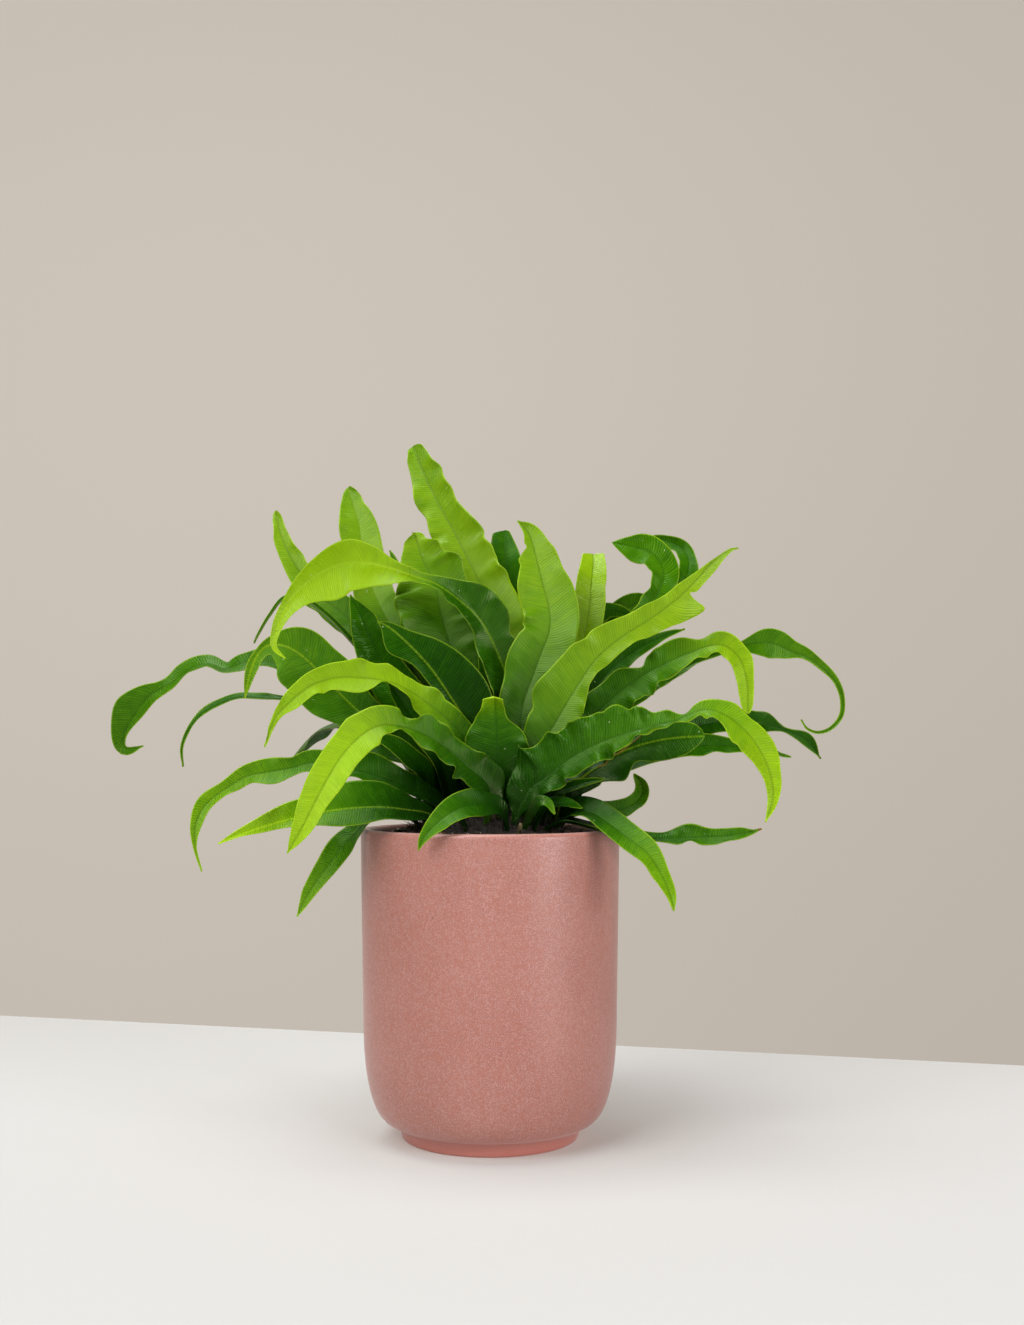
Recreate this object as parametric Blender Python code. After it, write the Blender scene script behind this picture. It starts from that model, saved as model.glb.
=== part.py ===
"""Bird's nest fern in a matte pink ceramic pot, at its real size.

The origin is the centre of the pot's foot, +Z is up, and -Y is the side that the fern is seen from.
Each frond is a thin strap on a smooth midrib, and stands in its own slot in the crown.
"""

import math
import random

import bmesh
import bpy
import numpy as np
from mathutils import Matrix, Vector

MM = 0.001

# Pot
RIM_RADIUS = 65.5
RIM_HEIGHT = 156.0
WAIST_RADIUS = 64.2
WAIST_HEIGHT = 66.0
CREASE_RADIUS = 47.5
CREASE_HEIGHT = 8.0
FOOT_RADIUS = 44.7
FOOT_BEVEL = 1.0
WALL = 5.0
FLOOR_THICKNESS = 9.0
BELLY_POWER = 2.5
BELLY_STEPS = 6
POT_SEGMENTS = 40

# Soil and crown
FIT_GAP = 0.3
SOIL_EDGE_HEIGHT = 150.5
SOIL_DOME = 3.5
SOIL_CRUMB = 0.8
SOIL_SEED = 3
SOIL_RINGS = ((7.0, 0.5), (14.0, 0.9))
CROWN_RADIUS = 41.0
CROWN_EDGE_HEIGHT = 154.5
CROWN_TOP_HEIGHT = 163.0
CROWN_BOTTOM_HEIGHT = 147.0
CROWN_SEGMENTS = 28
CROWN_RINGS = (1.0, 0.75, 0.5, 0.25)

# Fronds
STALK_THICKNESS = 2.0
BLADE_THICKNESS = 0.9
STALK_FADE = 16.0
STALK_WIDTH = 3.6
SLOT_DEPTH = 4.5
SLOT_CLEARANCE = 3.0
STALK_RISE = 1.0
FOLD = 0.26
ROW_LENGTH = 8.0
SHORTEST_ROWS = 7
TIP_ROUND = 6.0
CURVE_SAMPLES = 12
THINNEST = 1.0
# The margins' frills: a second, shorter wave rides on the first, and both margins run out of step.
SECOND_WAVE = 1.73
SECOND_SHARE = 0.4
SIDE_PHASE = 0.85
FOOT_PHASE = 7.0
FRILL_IN = 0.7
MEASURED_FRILL_IN = 0.45
LEAST_FACING = 0.6

# The fern is set out as it looks from this point: across and height are read in the plane of the pot's
# axis, and depth (positive is away) moves a point along its own line of sight.
EYE_DISTANCE = 772.0
EYE_HEIGHT = 193.0

COLOURS = {
    "pot": ((0.48, 0.21, 0.17), 0.55),
    "soil": ((0.018, 0.013, 0.010), 0.95),
    "crown": ((0.06, 0.035, 0.018), 0.9),
    "bright": ((0.34, 0.53, 0.04), 0.4),
    "yellow": ((0.42, 0.60, 0.03), 0.4),
    "mid": ((0.11, 0.30, 0.02), 0.35),
    "dark": ((0.03, 0.12, 0.01), 0.3),
}

# Each frond, in millimetres and degrees. foot: its place in the crown. path: (across, height) from the
# foot to the tip. depth, width, turn and ruffle: values spread evenly from foot to tip. turn: 0 shows the
# blade's face, and 90 its edge, to the eye. left and right, in place of width: how far each margin looks to
# be from the midrib. ruffle: height of the margins' waves, of length wave. lobes: (place along, side, growth,
# span) of a lobe or a bite in one margin. blunt: a tip rounded over this length instead of TIP_ROUND.
FRONDS = {
    "tall_spear": dict(
        foot=(5, 17), tone="bright", wave=19,
        path=[(9, 200), (8, 235), (2, 265), (-6, 282), (-16, 302), (-27, 322), (-34, 337), (-39, 350)],
        depth=(17, 24, 34, 44, 52), turn=(-60, -20, -5, 5, 12),
        left=(2, 3, 4.5, 7, 10, 12, 12.5, 12.5, 9.8, 7.8, 0.5),
        right=(2, 3, 4.5, 8, 12, 14.5, 13.5, 13.5, 10, 9.3, 0.5),
        ruffle=(0, 1, 2, 2.4, 1.8)),
    "left_spear": dict(
        foot=(-19, 16.5), tone="bright", wave=24,
        path=[(-24, 195), (-40, 225), (-56, 248), (-74, 264), (-90, 277), (-101, 293), (-106.5, 306),
              (-109, 317)],
        depth=(17, 28, 42), turn=(-50, -20, -10, 10),
        width=(5, 8, 13, 16, 18, 18, 15, 5), ruffle=(0, 0.5, 1, 1)),
    "left_back_blade": dict(
        foot=(-10, 24), tone="bright", wave=24,
        path=[(-20, 205), (-30, 230), (-43, 247), (-52, 262), (-58.5, 275), (-63, 288), (-65.5, 302),
              (-67, 312), (-69.5, 320), (-72, 329)],
        depth=(24, 34, 46, 56), turn=(-50, -15, 0, 0),
        left=(2, 3.2, 5, 8, 9, 9.5, 10, 10, 10, 10, 8.8, 0.5),
        right=(2, 3.5, 5.5, 8, 9, 9.5, 10, 10, 10, 10.6, 7.5, 0.5),
        ruffle=(0, 0.5, 1.2, 1.2)),
    "arch_left": dict(
        foot=(5, 2), tone="bright", wave=22,
        path=[(11, 200), (10, 225), (5, 242), (-4, 260), (-15, 271), (-27, 279.5), (-38, 283.5),
              (-50, 287.5), (-62, 290.5), (-75, 290), (-87, 285), (-97, 277), (-104, 267), (-108.5, 256),
              (-109.5, 248), (-104, 242)],
        depth=(2, 2, -3, -10, -16, -19, -20), turn=(-70, -45, -25, -15, -15, -40, -30, 0, 10, 0, 0),
        left=(2, 3, 4, 5, 6, 6, 7, 5, 3, 11, 13.5, 14.5, 7, 2.4, 0.6),
        right=(2, 3, 4, 5, 6, 9, 15, 9, 2.5, 5, 12, 8.5, 4.1, 2.8, 0.6),
        ruffle=(0, 2, 3, 2.5, 1, 0.6, 0.4, 0)),
    "crinkled_top": dict(
        foot=(-4, 11), tone="bright", wave=15,
        path=[(-6, 195), (-12, 225), (-20, 248), (-25, 265), (-28, 280), (-31, 291), (-34, 302)],
        depth=(11, 14, 18), turn=(-60, -20, -5, 10),
        left=(2, 4, 7, 10, 13, 14, 12, 10),
        right=(2, 4, 7, 10, 13, 16, 17, 8),
        ruffle=(0, 1, 2, 4, 5),
        blunt=3),
    "back_centre": dict(
        foot=(7, 26), tone="dark", wave=30,
        path=[(9, 205), (10, 245), (9, 272), (7, 293), (4, 307)],
        depth=(26, 38, 52), turn=(-40, 0, 10),
        width=(5, 10, 15, 18, 17, 9), ruffle=(0, 1, 1)),
    "centre_spear": dict(
        foot=(13, -7), tone="bright", wave=21,
        path=[(15, 195), (16.5, 217), (21, 231), (26, 245), (30, 256), (30, 267), (26.5, 281), (23, 295),
              (20, 305), (14, 312)],
        depth=(-7, -6, -3, 2, 8), turn=(-20, 5, 5, 0, -10),
        left=(2, 3, 5, 8.5, 13.5, 15, 13, 13.1, 12, 4.7, 0.5),
        right=(2, 3, 5, 7, 10, 12.5, 15.2, 15, 12, 8.2, 0.5),
        ruffle=(0, 2, 3, 2, 1.5, 1)),
    "curled_upright": dict(
        foot=(21, 9), tone="bright", wave=24,
        path=[(36, 200), (43, 230), (47.5, 252), (50.5, 268), (51.5, 281), (52.5, 289), (52.5, 295)],
        depth=(9, 14, 20, 24, 20), turn=(20, 0, 0),
        left=(2, 4.5, 7, 8.5, 8, 9, 8.5, 7), right=(2, 4.5, 7, 8.5, 9, 8, 9, 6.5),
        ruffle=(0, 0.5, 1, 0.5), blunt=1.5),
    "right_diagonal": dict(
        foot=(18, -13), tone="bright", wave=20,
        path=[(23, 190), (33, 209), (43, 226), (54, 242), (67, 253), (81, 262), (94, 271.5), (105, 282),
              (113, 291), (121, 297), (126, 298)],
        depth=(-17, -16, -17, -20, -25), turn=(20, 10, 0, 0, 10),
        left=(2, 3, 6, 10, 17, 16, 12.8, 10.4, 7.3, 6, 4.4, 1, 0.5),
        right=(2, 3, 4, 4, 3.5, 4.5, 6, 5.8, 7.7, 10, 4.5, 4, 0.5),
        ruffle=(0, 2, 2, 2, 1.8, 1, 0),
        lobes=[(0.785, 1, 3.5, 0.025), (0.83, 1, -2, 0.02)]),
    "under_diagonal": dict(
        foot=(27, 1), tone="dark", wave=24,
        path=[(33, 195), (47, 217), (60, 235), (74, 246), (87, 253), (99, 257)],
        depth=(1, 7, 13), turn=(30, 10, 10),
        width=(4, 8, 11, 12, 11, 7, 1), ruffle=(0, 0.5, 0.5)),
    "back_hump_1": dict(
        foot=(15, 20), tone="dark", wave=24,
        path=[(28, 205), (40, 235), (49, 256), (58, 266), (68, 265), (76, 259)],
        depth=(20, 25, 29), turn=(30, 10, 10),
        width=(4, 9, 14, 16, 14, 9, 2), ruffle=(0, 1, 1)),
    "back_hump_2": dict(
        foot=(22, 22), tone="mid", wave=26,
        path=[(36, 205), (50, 235), (62, 258), (72, 269), (82, 269), (91, 262)],
        depth=(22, 32, 41), turn=(30, 10, 10),
        width=(4, 9, 14, 17, 17, 12, 3), ruffle=(0, 1, 1)),
    "hook": dict(
        foot=(29, 12), tone="dark", wave=22,
        path=[(38, 200), (55, 232), (71, 256), (82, 270), (87, 279), (88, 287), (83, 295), (74, 298.5),
              (62, 301)],
        depth=(12, 20, 28, 34), turn=(30, 10, 0, -20, -20),
        left=(2, 3, 4, 5, 6, 6, 6, 5, 4, 5.8, 9, 1.5),
        right=(2, 3, 4, 5, 6, 6, 6, 6, 6, 5.5, 6.3, 1),
        ruffle=(0, 0.5, 1.5, 1.5)),
    "hook_back": dict(
        foot=(22, 28), tone="dark", wave=22,
        path=[(42, 205), (64, 240), (86, 266), (98, 281), (101, 291), (97, 298), (88.5, 302),
              (80, 303.5)],
        depth=(28, 50, 66), turn=(30, 10, 0, -10),
        width=(4, 8, 12, 13, 13, 12, 9, 3), ruffle=(0, 0.5, 1)),
    "right_wavy": dict(
        foot=(29, -5), tone="mid", wave=17,
        path=[(38, 198), (50, 211), (62, 222), (75, 232), (90, 240), (104, 246), (117, 249),
              (126.5, 242.5), (130.5, 230), (131, 214)],
        depth=(-5, -3, -4, -8, -12), turn=(30, 15, 15, 25, 0),
        left=(2, 3, 4, 5, 7, 9, 9, 5, 9, 6, 6, 5.3, 3.2, 2.5),
        right=(2, 3, 4, 5, 6, 8, 10, 10, 7.6, 5, 5, 5.9, 5, 3),
        ruffle=(0, 1, 3, 4, 3, 1, 0)),
    "far_curl": dict(
        foot=(35, 4), tone="mid", wave=28,
        path=[(43, 198), (60, 215), (80, 228), (100, 238), (118, 246), (136, 250), (144.5, 249.5),
              (152, 246), (160, 243), (168, 237.5), (175, 230.5), (179, 222), (178.5, 213), (173, 206.5),
              (166.5, 204.5), (161, 206.5), (158, 211)],
        depth=(4, 10, 14, 20, 26), turn=(30, 15, 10, 0, 0),
        left=(2, 3, 4, 5, 6, 6, 6, 5, 1.5, 7.4, 4.5, 3, 1.2, 1, 0.5),
        right=(2, 3, 3, 3, 4, 4, 3, 1.5, 2.5, 8.2, 2.2, 1, 1.5, 1, 0.5),
        ruffle=(0, 1, 2, 1, 0.5, 0)),
    "right_main": dict(
        foot=(12, -26), tone="mid", wave=14,
        path=[(20, 175), (28, 181), (36, 188), (45, 194), (55, 199), (67, 203.5), (80, 207), (94, 210.5),
              (108.5, 216), (120, 213), (130.5, 204.5), (138.5, 193), (143, 181), (143.5, 170),
              (140, 159)],
        depth=(-26, -34, -43, -52, -60), turn=(20, 20, 10, 30, 40, 30, 10),
        left=(2, 9, 16, 16, 14.5, 10.5, 14, 8, 4, 3, 6, 5.5, 7, 5, 3, 0.5),
        right=(2, 3, 5, 5, 4, 3.5, 2.5, 2, 2, 4, 5, 10, 8.6, 5, 3, 0.5),
        ruffle=(0, 3.5, 4.5, 4.5, 3, 1, 0.6, 0.4, 0)),
    "right_paddle": dict(
        foot=(33, -9), tone="mid", wave=28,
        path=[(38, 173), (48, 182), (60, 191), (73, 197), (86, 200.5), (98, 202), (109, 202.5)],
        depth=(-10, -14, -18), turn=(30, 15, 10),
        left=(2, 2.5, 3, 5, 8, 9, 9, 8.5, 8, 8, 5),
        right=(2, 2.5, 2.5, 3.5, 10.5, 14.5, 8, 10.3, 11.3, 8.7, 3),
        ruffle=(0, 0.5, 1, 0.5)),
    "torn_blade": dict(
        foot=(21, -22), tone="dark", wave=15,
        path=[(29, 177), (41, 184), (54, 191.5), (66, 199), (80, 207.5)],
        depth=(-23, -25, -29), turn=(40, 30, 20),
        width=(4, 8, 11, 12, 9, 3), ruffle=(0, 1, 1.5)),
    "back_right_tip": dict(
        foot=(30, 18), tone="dark", wave=30,
        path=[(48, 185), (66, 195), (84, 202), (102, 207), (121, 210.5), (137, 209.5), (146, 207),
              (153, 204.5), (161, 200.5), (168, 191)],
        depth=(18, 34, 50, 66), turn=(40, 20, 10, 0),
        width=(4, 7, 9, 10, 11, 11, 11, 12, 12, 11, 3, 6, 1), ruffle=(0, 1, 1)),
    "back_right_low": dict(
        foot=(35, 11), tone="dark", wave=30,
        path=[(48, 180), (66, 188), (86, 195), (106, 198), (126, 197.5), (142, 195), (153, 192)],
        depth=(11, 22, 34), turn=(40, 20, 10),
        width=(4, 7, 10, 12, 12, 9, 4, 1), ruffle=(0, 1, 1)),
    "small_curl_right": dict(
        foot=(36, -3), tone="mid", wave=18,
        path=[(43, 164), (53, 165), (63, 165), (71, 167), (76.5, 172), (77, 178), (73, 183.5)],
        depth=(-3, 0, 2), turn=(60, 30, 20, 20),
        width=(4, 7, 9, 10, 9, 8, 3), ruffle=(0, 0.5, 0.5)),
    "right_hanging": dict(
        foot=(33, -15), tone="mid", wave=26,
        path=[(42, 164.5), (51, 164), (60, 158.5), (70, 151), (80, 143), (87, 132.5), (91.5, 122),
              (93.5, 114)],
        depth=(-15, -35, -50, -60, -68), turn=(60, 50, 20, 10),
        width=(4, 9, 13, 14, 14, 12, 8, 2), ruffle=(0, 0.5, 0.8)),
    "right_low": dict(
        foot=(28, -25), tone="mid", wave=24,
        path=[(38, 159.5), (49, 157.5), (58, 155), (67, 152.5), (80, 151), (95, 151), (110, 151.5),
              (125, 152.5), (138, 155.5)],
        depth=(-27, -39, -38, -42), turn=(80, 75, 40, 10),
        width=(3.6, 5, 7, 9, 10, 10, 8, 1), ruffle=(0, 0, 1.5, 2, 1)),
    "right_dark_upper": dict(
        foot=(26, -15), tone="dark", wave=20,
        path=[(31, 172), (39, 176), (48, 179), (58, 181)],
        depth=(-15, -18, -22), turn=(50, 40, 20),
        width=(4, 6, 7, 5, 1.5), ruffle=(0, 0.5, 0.5)),
    "right_dark_low": dict(
        foot=(22, -28), tone="dark", wave=20,
        path=[(27, 166), (33, 168.5), (40, 168.5), (47, 166)],
        depth=(-29, -31, -33), turn=(60, 50, 50),
        width=(4, 7, 8, 7, 2), ruffle=(0, 0.5, 0.5)),
    "small_front": dict(
        foot=(5, -19), tone="mid", wave=15,
        path=[(5, 177), (4.5, 189), (3.5, 201), (3, 211), (2.5, 218), (2.5, 222)],
        depth=(-19, -19, -21, -28), turn=(0, 0, 0),
        left=(2, 2.5, 3.5, 6, 11, 15.3, 12, 9.2, 4.8),
        right=(2, 2.5, 3.5, 7, 12.5, 15, 6.5, 5, 4),
        ruffle=(0, 0.5, 1, 1.5, 1),
        blunt=1.5),
    "front_left_small": dict(
        foot=(8, -34), tone="mid", wave=24,
        path=[(5, 166), (-4, 168), (-13, 167), (-21, 163), (-28.5, 157), (-34, 150.5), (-36.5, 144.5)],
        depth=(-34, -48, -64, -66), turn=(-60, -30, -20, 0),
        width=(4, 9, 15, 16, 13, 8, 2), ruffle=(0, 0.5, 0.5)),
    "tiny_curl": dict(
        foot=(17, -31), tone="bright", wave=10,
        path=[(22, 166), (25, 169.5), (29, 169), (33, 163)],
        depth=(-33, -37, -40), turn=(20, 20, 20),
        width=(3, 5, 6, 5, 2), ruffle=(0, 0.3)),
    "bright_mid_left": dict(
        foot=(-6, -13), tone="yellow", wave=18,
        path=[(-8, 190), (-14, 203), (-25, 214), (-39, 224.5), (-50, 230), (-63, 232), (-76, 232.5),
              (-87, 230), (-95, 225.5), (-102, 219.5), (-107.5, 214), (-111.5, 206), (-114.5, 197)],
        depth=(-13, -17, -26, -34, -38), turn=(-60, -30, -15, -20, -60, -20, -10, -10, 0),
        left=(2, 4, 6, 7, 9, 9, 6, 2, 8.6, 7, 5.4, 4.8, 1.8, 0.5),
        right=(2, 4, 6, 6, 4, 7, 4, 5.5, 8.3, 7, 6.5, 4, 1.5, 0.5),
        ruffle=(0, 2, 2, 1.5, 1.2, 1)),
    "left_mid_wide": dict(
        foot=(-25, -3), tone="mid", wave=34,
        path=[(-34, 190), (-50, 202), (-65, 213.5), (-77, 225), (-88, 236.5), (-97, 244.5),
              (-105, 248.5), (-113, 248.5), (-118.5, 243), (-122, 234), (-124.5, 222)],
        depth=(-3, -4, -5, -6, -8), turn=(-50, -25, -10, -10, 0),
        left=(2, 3, 5, 7, 9, 12, 18, 18, 16.5, 5, 3.2, 0.5),
        right=(2, 3, 5, 6, 8, 10, 14, 13.5, 12.5, 3, 3, 0.5),
        ruffle=(0, 1, 1.5, 1, 0.5, 0)),
    "left_long": dict(
        foot=(-31, 6), tone="mid", wave=30,
        path=[(-38, 195), (-58, 214), (-80, 229), (-98, 236), (-112, 240), (-125, 240), (-134, 237),
              (-143, 239.5), (-152, 237), (-162, 229.5), (-173, 223), (-181, 213), (-186, 203),
              (-185, 196.5), (-176, 197.5)],
        depth=(6, 10, 16, 24, 32), turn=(-60, -50, -40, -20, -50, -60, 0, 0),
        left=(2, 2.5, 3, 3.5, 4, 4, 4, 4, 3, 4.5, 4.6, 2.5, 4, 4, 1.5, 0.5),
        right=(2, 2.5, 3, 3.5, 4, 4, 4, 4, 5, 3.5, 3.6, 3.7, 3.9, 11.3, 6.2, 0.5),
        ruffle=(0, 0.5, 1, 1, 0.5, 0)),
    "left_thin_arc": dict(
        foot=(-33, -2), tone="dark", wave=30,
        path=[(-42, 187), (-60, 203), (-80, 216), (-100, 221), (-118, 222.5), (-128, 222.5), (-138, 219),
              (-146, 214.5), (-152.5, 207), (-156.5, 197), (-156, 187)],
        depth=(-2, 3, 4, 4, 4), turn=(-80, -70, -60, -40),
        width=(4, 6, 7, 7, 6, 5, 6, 5, 3, 1), ruffle=(0, 0.5, 0.5, 0)),
    "left_low_wavy": dict(
        foot=(-20, -17), tone="mid", wave=34,
        path=[(-28, 170), (-38, 175.5), (-50, 180), (-68, 185.5), (-89, 189), (-101, 186.5),
              (-112, 184.5), (-124, 182), (-135.5, 175), (-145, 167), (-149.5, 157), (-149.5, 146),
              (-146.5, 134)],
        depth=(-18, -23, -25, -29, -38), turn=(-60, -30, -25, -20, 0),
        left=(2, 3, 3, 2.5, 3.5, 6.5, 6, 4.3, 7.4, 4.9, 3.5, 3.5, 3.2, 0.6, 0.5),
        right=(2, 3.5, 5, 7, 9, 8, 6.5, 4.4, 6.5, 5.2, 4.2, 5, 2.7, 1.3, 0.5),
        ruffle=(0, 1, 2.5, 2.5, 1.5, 0.5, 0)),
    "yellow_front": dict(
        foot=(-2, -26), tone="yellow", wave=15,
        path=[(0, 176), (-10, 186), (-20, 195), (-32, 203), (-45, 207.5), (-56, 208), (-66, 202.5),
              (-75, 193), (-82, 182), (-89, 169), (-95, 157), (-103, 143)],
        depth=(-26, -32, -42, -54, -62, -66), turn=(-40, -30, -30, -20, -5, 5),
        left=(2, 6, 9.4, 8, 5.3, 2, 5, 10.3, 9.8, 9.2, 6.6, 5, 0.5),
        right=(2, 6, 8.7, 6, 5.5, 4.5, 8.5, 9.5, 8.7, 9, 8.2, 5.3, 0.5),
        ruffle=(0, 3, 3.5, 2, 0.5, 0.3, 0),
        lobes=[(0.37, 1, 5, 0.03)]),
    "left_low_flat": dict(
        foot=(-22, -26), tone="mid", wave=36,
        path=[(-32, 163), (-42, 165), (-55, 166.5), (-70, 166), (-85, 164), (-99, 161), (-112, 157.5),
              (-124, 153.5), (-138, 148)],
        depth=(-26, -38, -52, -64), turn=(-70, -40, -25, -15),
        left=(2, 5, 7, 8, 9.9, 10.2, 7, 4.7, 3, 1.2, 0.5),
        right=(2, 4, 6.5, 11, 12, 10.5, 8.8, 7.5, 5.2, 3.1, 0.5),
        ruffle=(0, 0.5, 0.8, 0.5)),
    "left_hanging": dict(
        foot=(-35, -9), tone="mid", wave=26,
        path=[(-44, 164), (-54, 164), (-62, 160), (-70, 152), (-79, 141), (-87, 130.5), (-94, 119.5),
              (-98, 111)],
        depth=(-9, -18, -24, -30), turn=(-80, -65, -20, 0),
        width=(4, 9, 12, 14, 14, 11, 7, 1), ruffle=(0, 0.5, 0.5)),
    "wide_dark": dict(
        foot=(-9, -4), tone="dark", wave=36,
        path=[(-10, 195), (-14, 212), (-21, 224), (-30, 237), (-40, 248), (-50, 257), (-57, 261)],
        depth=(-4, -4, -3), turn=(-40, -10, 0, 0),
        left=(2, 4, 7, 7, 6, 5.5, 6, 10, 0.5),
        right=(2, 5, 10, 15, 19, 17.5, 12.6, 5.2, 0.5),
        ruffle=(0, 0.5, 0.8, 0.5)),
    "glossy_dark": dict(
        foot=(-17, 4), tone="dark", wave=24,
        path=[(-22, 195), (-30, 212), (-40, 226), (-49, 238), (-56, 250), (-60, 262), (-63, 273)],
        depth=(4, 7, 10), turn=(-50, -20, 0, 0),
        width=(4, 9, 14, 20, 22, 20, 12, 3), ruffle=(0, 0.5, 1.5, 1.5)),
    "needle": dict(
        foot=(-24, 13), tone="dark", wave=30,
        path=[(-38, 205), (-55, 232), (-75, 256), (-92, 271), (-104, 273), (-112, 264), (-118, 254),
              (-120, 250)],
        depth=(13, 16, 20, 28), turn=(-80, -75, -70),
        width=(3.6, 5, 6, 6, 7, 6, 4, 1), ruffle=(0, 0.3)),
    "small_tip": dict(
        foot=(-4, 18), tone="mid", wave=24,
        path=[(-8, 205), (-18, 235), (-32, 262), (-44, 282), (-51, 297)],
        depth=(18, 24, 32), turn=(-50, -20, 0),
        width=(4, 8, 11, 12, 9, 2), ruffle=(0, 0.5, 0.5)),
    "left_fill_low": dict(
        foot=(-28, -11), tone="dark", wave=24,
        path=[(-33, 183), (-41, 192), (-50, 199), (-60, 203)],
        depth=(-12, -12, -13), turn=(-40, -30, -20),
        width=(4, 7, 11, 10, 2), ruffle=(0, 0.5, 0.5)),
    "left_fill_high": dict(
        foot=(-17, -8), tone="dark", wave=24,
        path=[(-25, 190), (-35, 205), (-44, 219), (-52, 231)],
        depth=(-11, -13, -14), turn=(-30, -20, -10),
        width=(4, 8, 12, 11, 2), ruffle=(0, 0.5, 0.5)),
    "centre_fill_low": dict(
        foot=(13, 9.5), tone="dark", wave=24,
        path=[(6, 200), (2, 222), (-2, 236), (-5, 248)],
        depth=(8, 6, 3), turn=(-30, 0, 0),
        width=(4, 9, 13, 12, 2), ruffle=(0, 0.5, 0.5)),
    "low_front_left": dict(
        foot=(-12, -33), tone="dark", wave=16,
        path=[(-17, 163), (-23, 164), (-31, 162)],
        depth=(-33, -36, -38), turn=(-60, -60, -60),
        width=(3, 7, 8, 2), ruffle=(0, 0.3)),
}

# The fronds on the far side fan out by rule, tall and low ones in turn.
BACK_FRONDS = 8
BACK_SEED = 11
BACK_FEET = (66.0, 141.0)
BACK_FAN = (46.0, 142.0)
BACK_FOOT_RADIUS = 35.0
BACK_TALL = dict(reach=(78.0, 95.0), rise=(92.0, 108.0), width=(16.0, 19.0))
BACK_SHAPE = (0.2, 0.45, 0.85, 1.0, 0.95, 0.7, 0.1)
BACK_ARCH = ((0.06, 0.4), (0.2, 0.75), (0.45, 1.0), (0.72, 0.93), (0.9, 0.68), (1.0, 0.42))
BACK_LOW = dict(reach=(112.0, 135.0), rise=(52.0, 64.0), width=(17.0, 21.0))


def clear_scene():
    for old in list(bpy.data.objects):
        bpy.data.objects.remove(old, do_unlink=True)


def material(name, colour, roughness):
    made = bpy.data.materials.new(name)
    made.use_nodes = True
    shader = made.node_tree.nodes["Principled BSDF"]
    shader.inputs["Base Color"].default_value = (*colour, 1.0)
    shader.inputs["Roughness"].default_value = roughness
    return made


def add_object(name, mesh, finish, parent):
    mesh.materials.append(finish)
    obj = bpy.data.objects.new(name, mesh)
    bpy.context.scene.collection.objects.link(obj)
    obj.parent = parent
    return obj


def smooth_shading(mesh, sharp_degrees):
    mesh.shade_smooth()
    mesh.set_sharp_from_angle(angle=math.radians(sharp_degrees))


def turned(name, profile, segments):
    """A solid of revolution from (radius, height) points in mm, closed where they meet the axis."""
    bm = bmesh.new()
    corners = [bm.verts.new((r * MM, 0, z * MM)) for r, z in profile]
    edges = [bm.edges.new(pair) for pair in zip(corners, corners[1:])]
    bmesh.ops.spin(bm, geom=corners + edges, angle=math.tau, steps=segments, axis=(0, 0, 1), use_merge=True)
    bmesh.ops.remove_doubles(bm, verts=bm.verts, dist=1e-6)
    bmesh.ops.recalc_face_normals(bm, faces=bm.faces)
    mesh = bpy.data.meshes.new(name)
    bm.to_mesh(mesh)
    bm.free()
    return mesh


def belly(inset):
    """The pot's lower curve, from the waist down to the crease, moved inwards by inset."""
    wide, deep = WAIST_RADIUS - CREASE_RADIUS, WAIST_HEIGHT - CREASE_HEIGHT
    points = []
    for step in range(BELLY_STEPS + 1):
        angle = 0.5 * math.pi * step / BELLY_STEPS
        out = CREASE_RADIUS + wide * math.cos(angle) ** (2 / BELLY_POWER) - inset
        down = WAIST_HEIGHT - deep * math.sin(angle) ** (2 / BELLY_POWER)
        points.append((out, down))
    return points


def make_pot(finish, parent):
    lip = WALL / 2
    rim = [
        (RIM_RADIUS, RIM_HEIGHT - 0.8 * lip),
        (RIM_RADIUS - 0.3 * lip, RIM_HEIGHT - 0.2 * lip),
        (RIM_RADIUS - lip, RIM_HEIGHT),
        (RIM_RADIUS - 1.7 * lip, RIM_HEIGHT - 0.2 * lip),
        (RIM_RADIUS - 2 * lip, RIM_HEIGHT - 0.8 * lip),
    ]
    inside = [point for point in belly(WALL) if point[1] > FLOOR_THICKNESS + WALL]
    foot = [
        (FOOT_RADIUS, CREASE_HEIGHT - FOOT_BEVEL),
        (FOOT_RADIUS, FOOT_BEVEL),
        (FOOT_RADIUS - FOOT_BEVEL, 0),
        (0, 0),
    ]
    profile = [(0, FLOOR_THICKNESS), (inside[-1][0] - WALL, FLOOR_THICKNESS)]
    profile += inside[::-1] + rim[::-1] + belly(0) + foot
    mesh = turned("pot", profile, POT_SEGMENTS)
    smooth_shading(mesh, 40)
    return add_object("pot", mesh, finish, parent)


def inner_radius(height):
    """The pot's inside radius at a height above the waist."""
    climb = (height - WAIST_HEIGHT) / (RIM_HEIGHT - WAIST_HEIGHT)
    return WAIST_RADIUS - WALL + climb * (RIM_RADIUS - WAIST_RADIUS)


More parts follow.
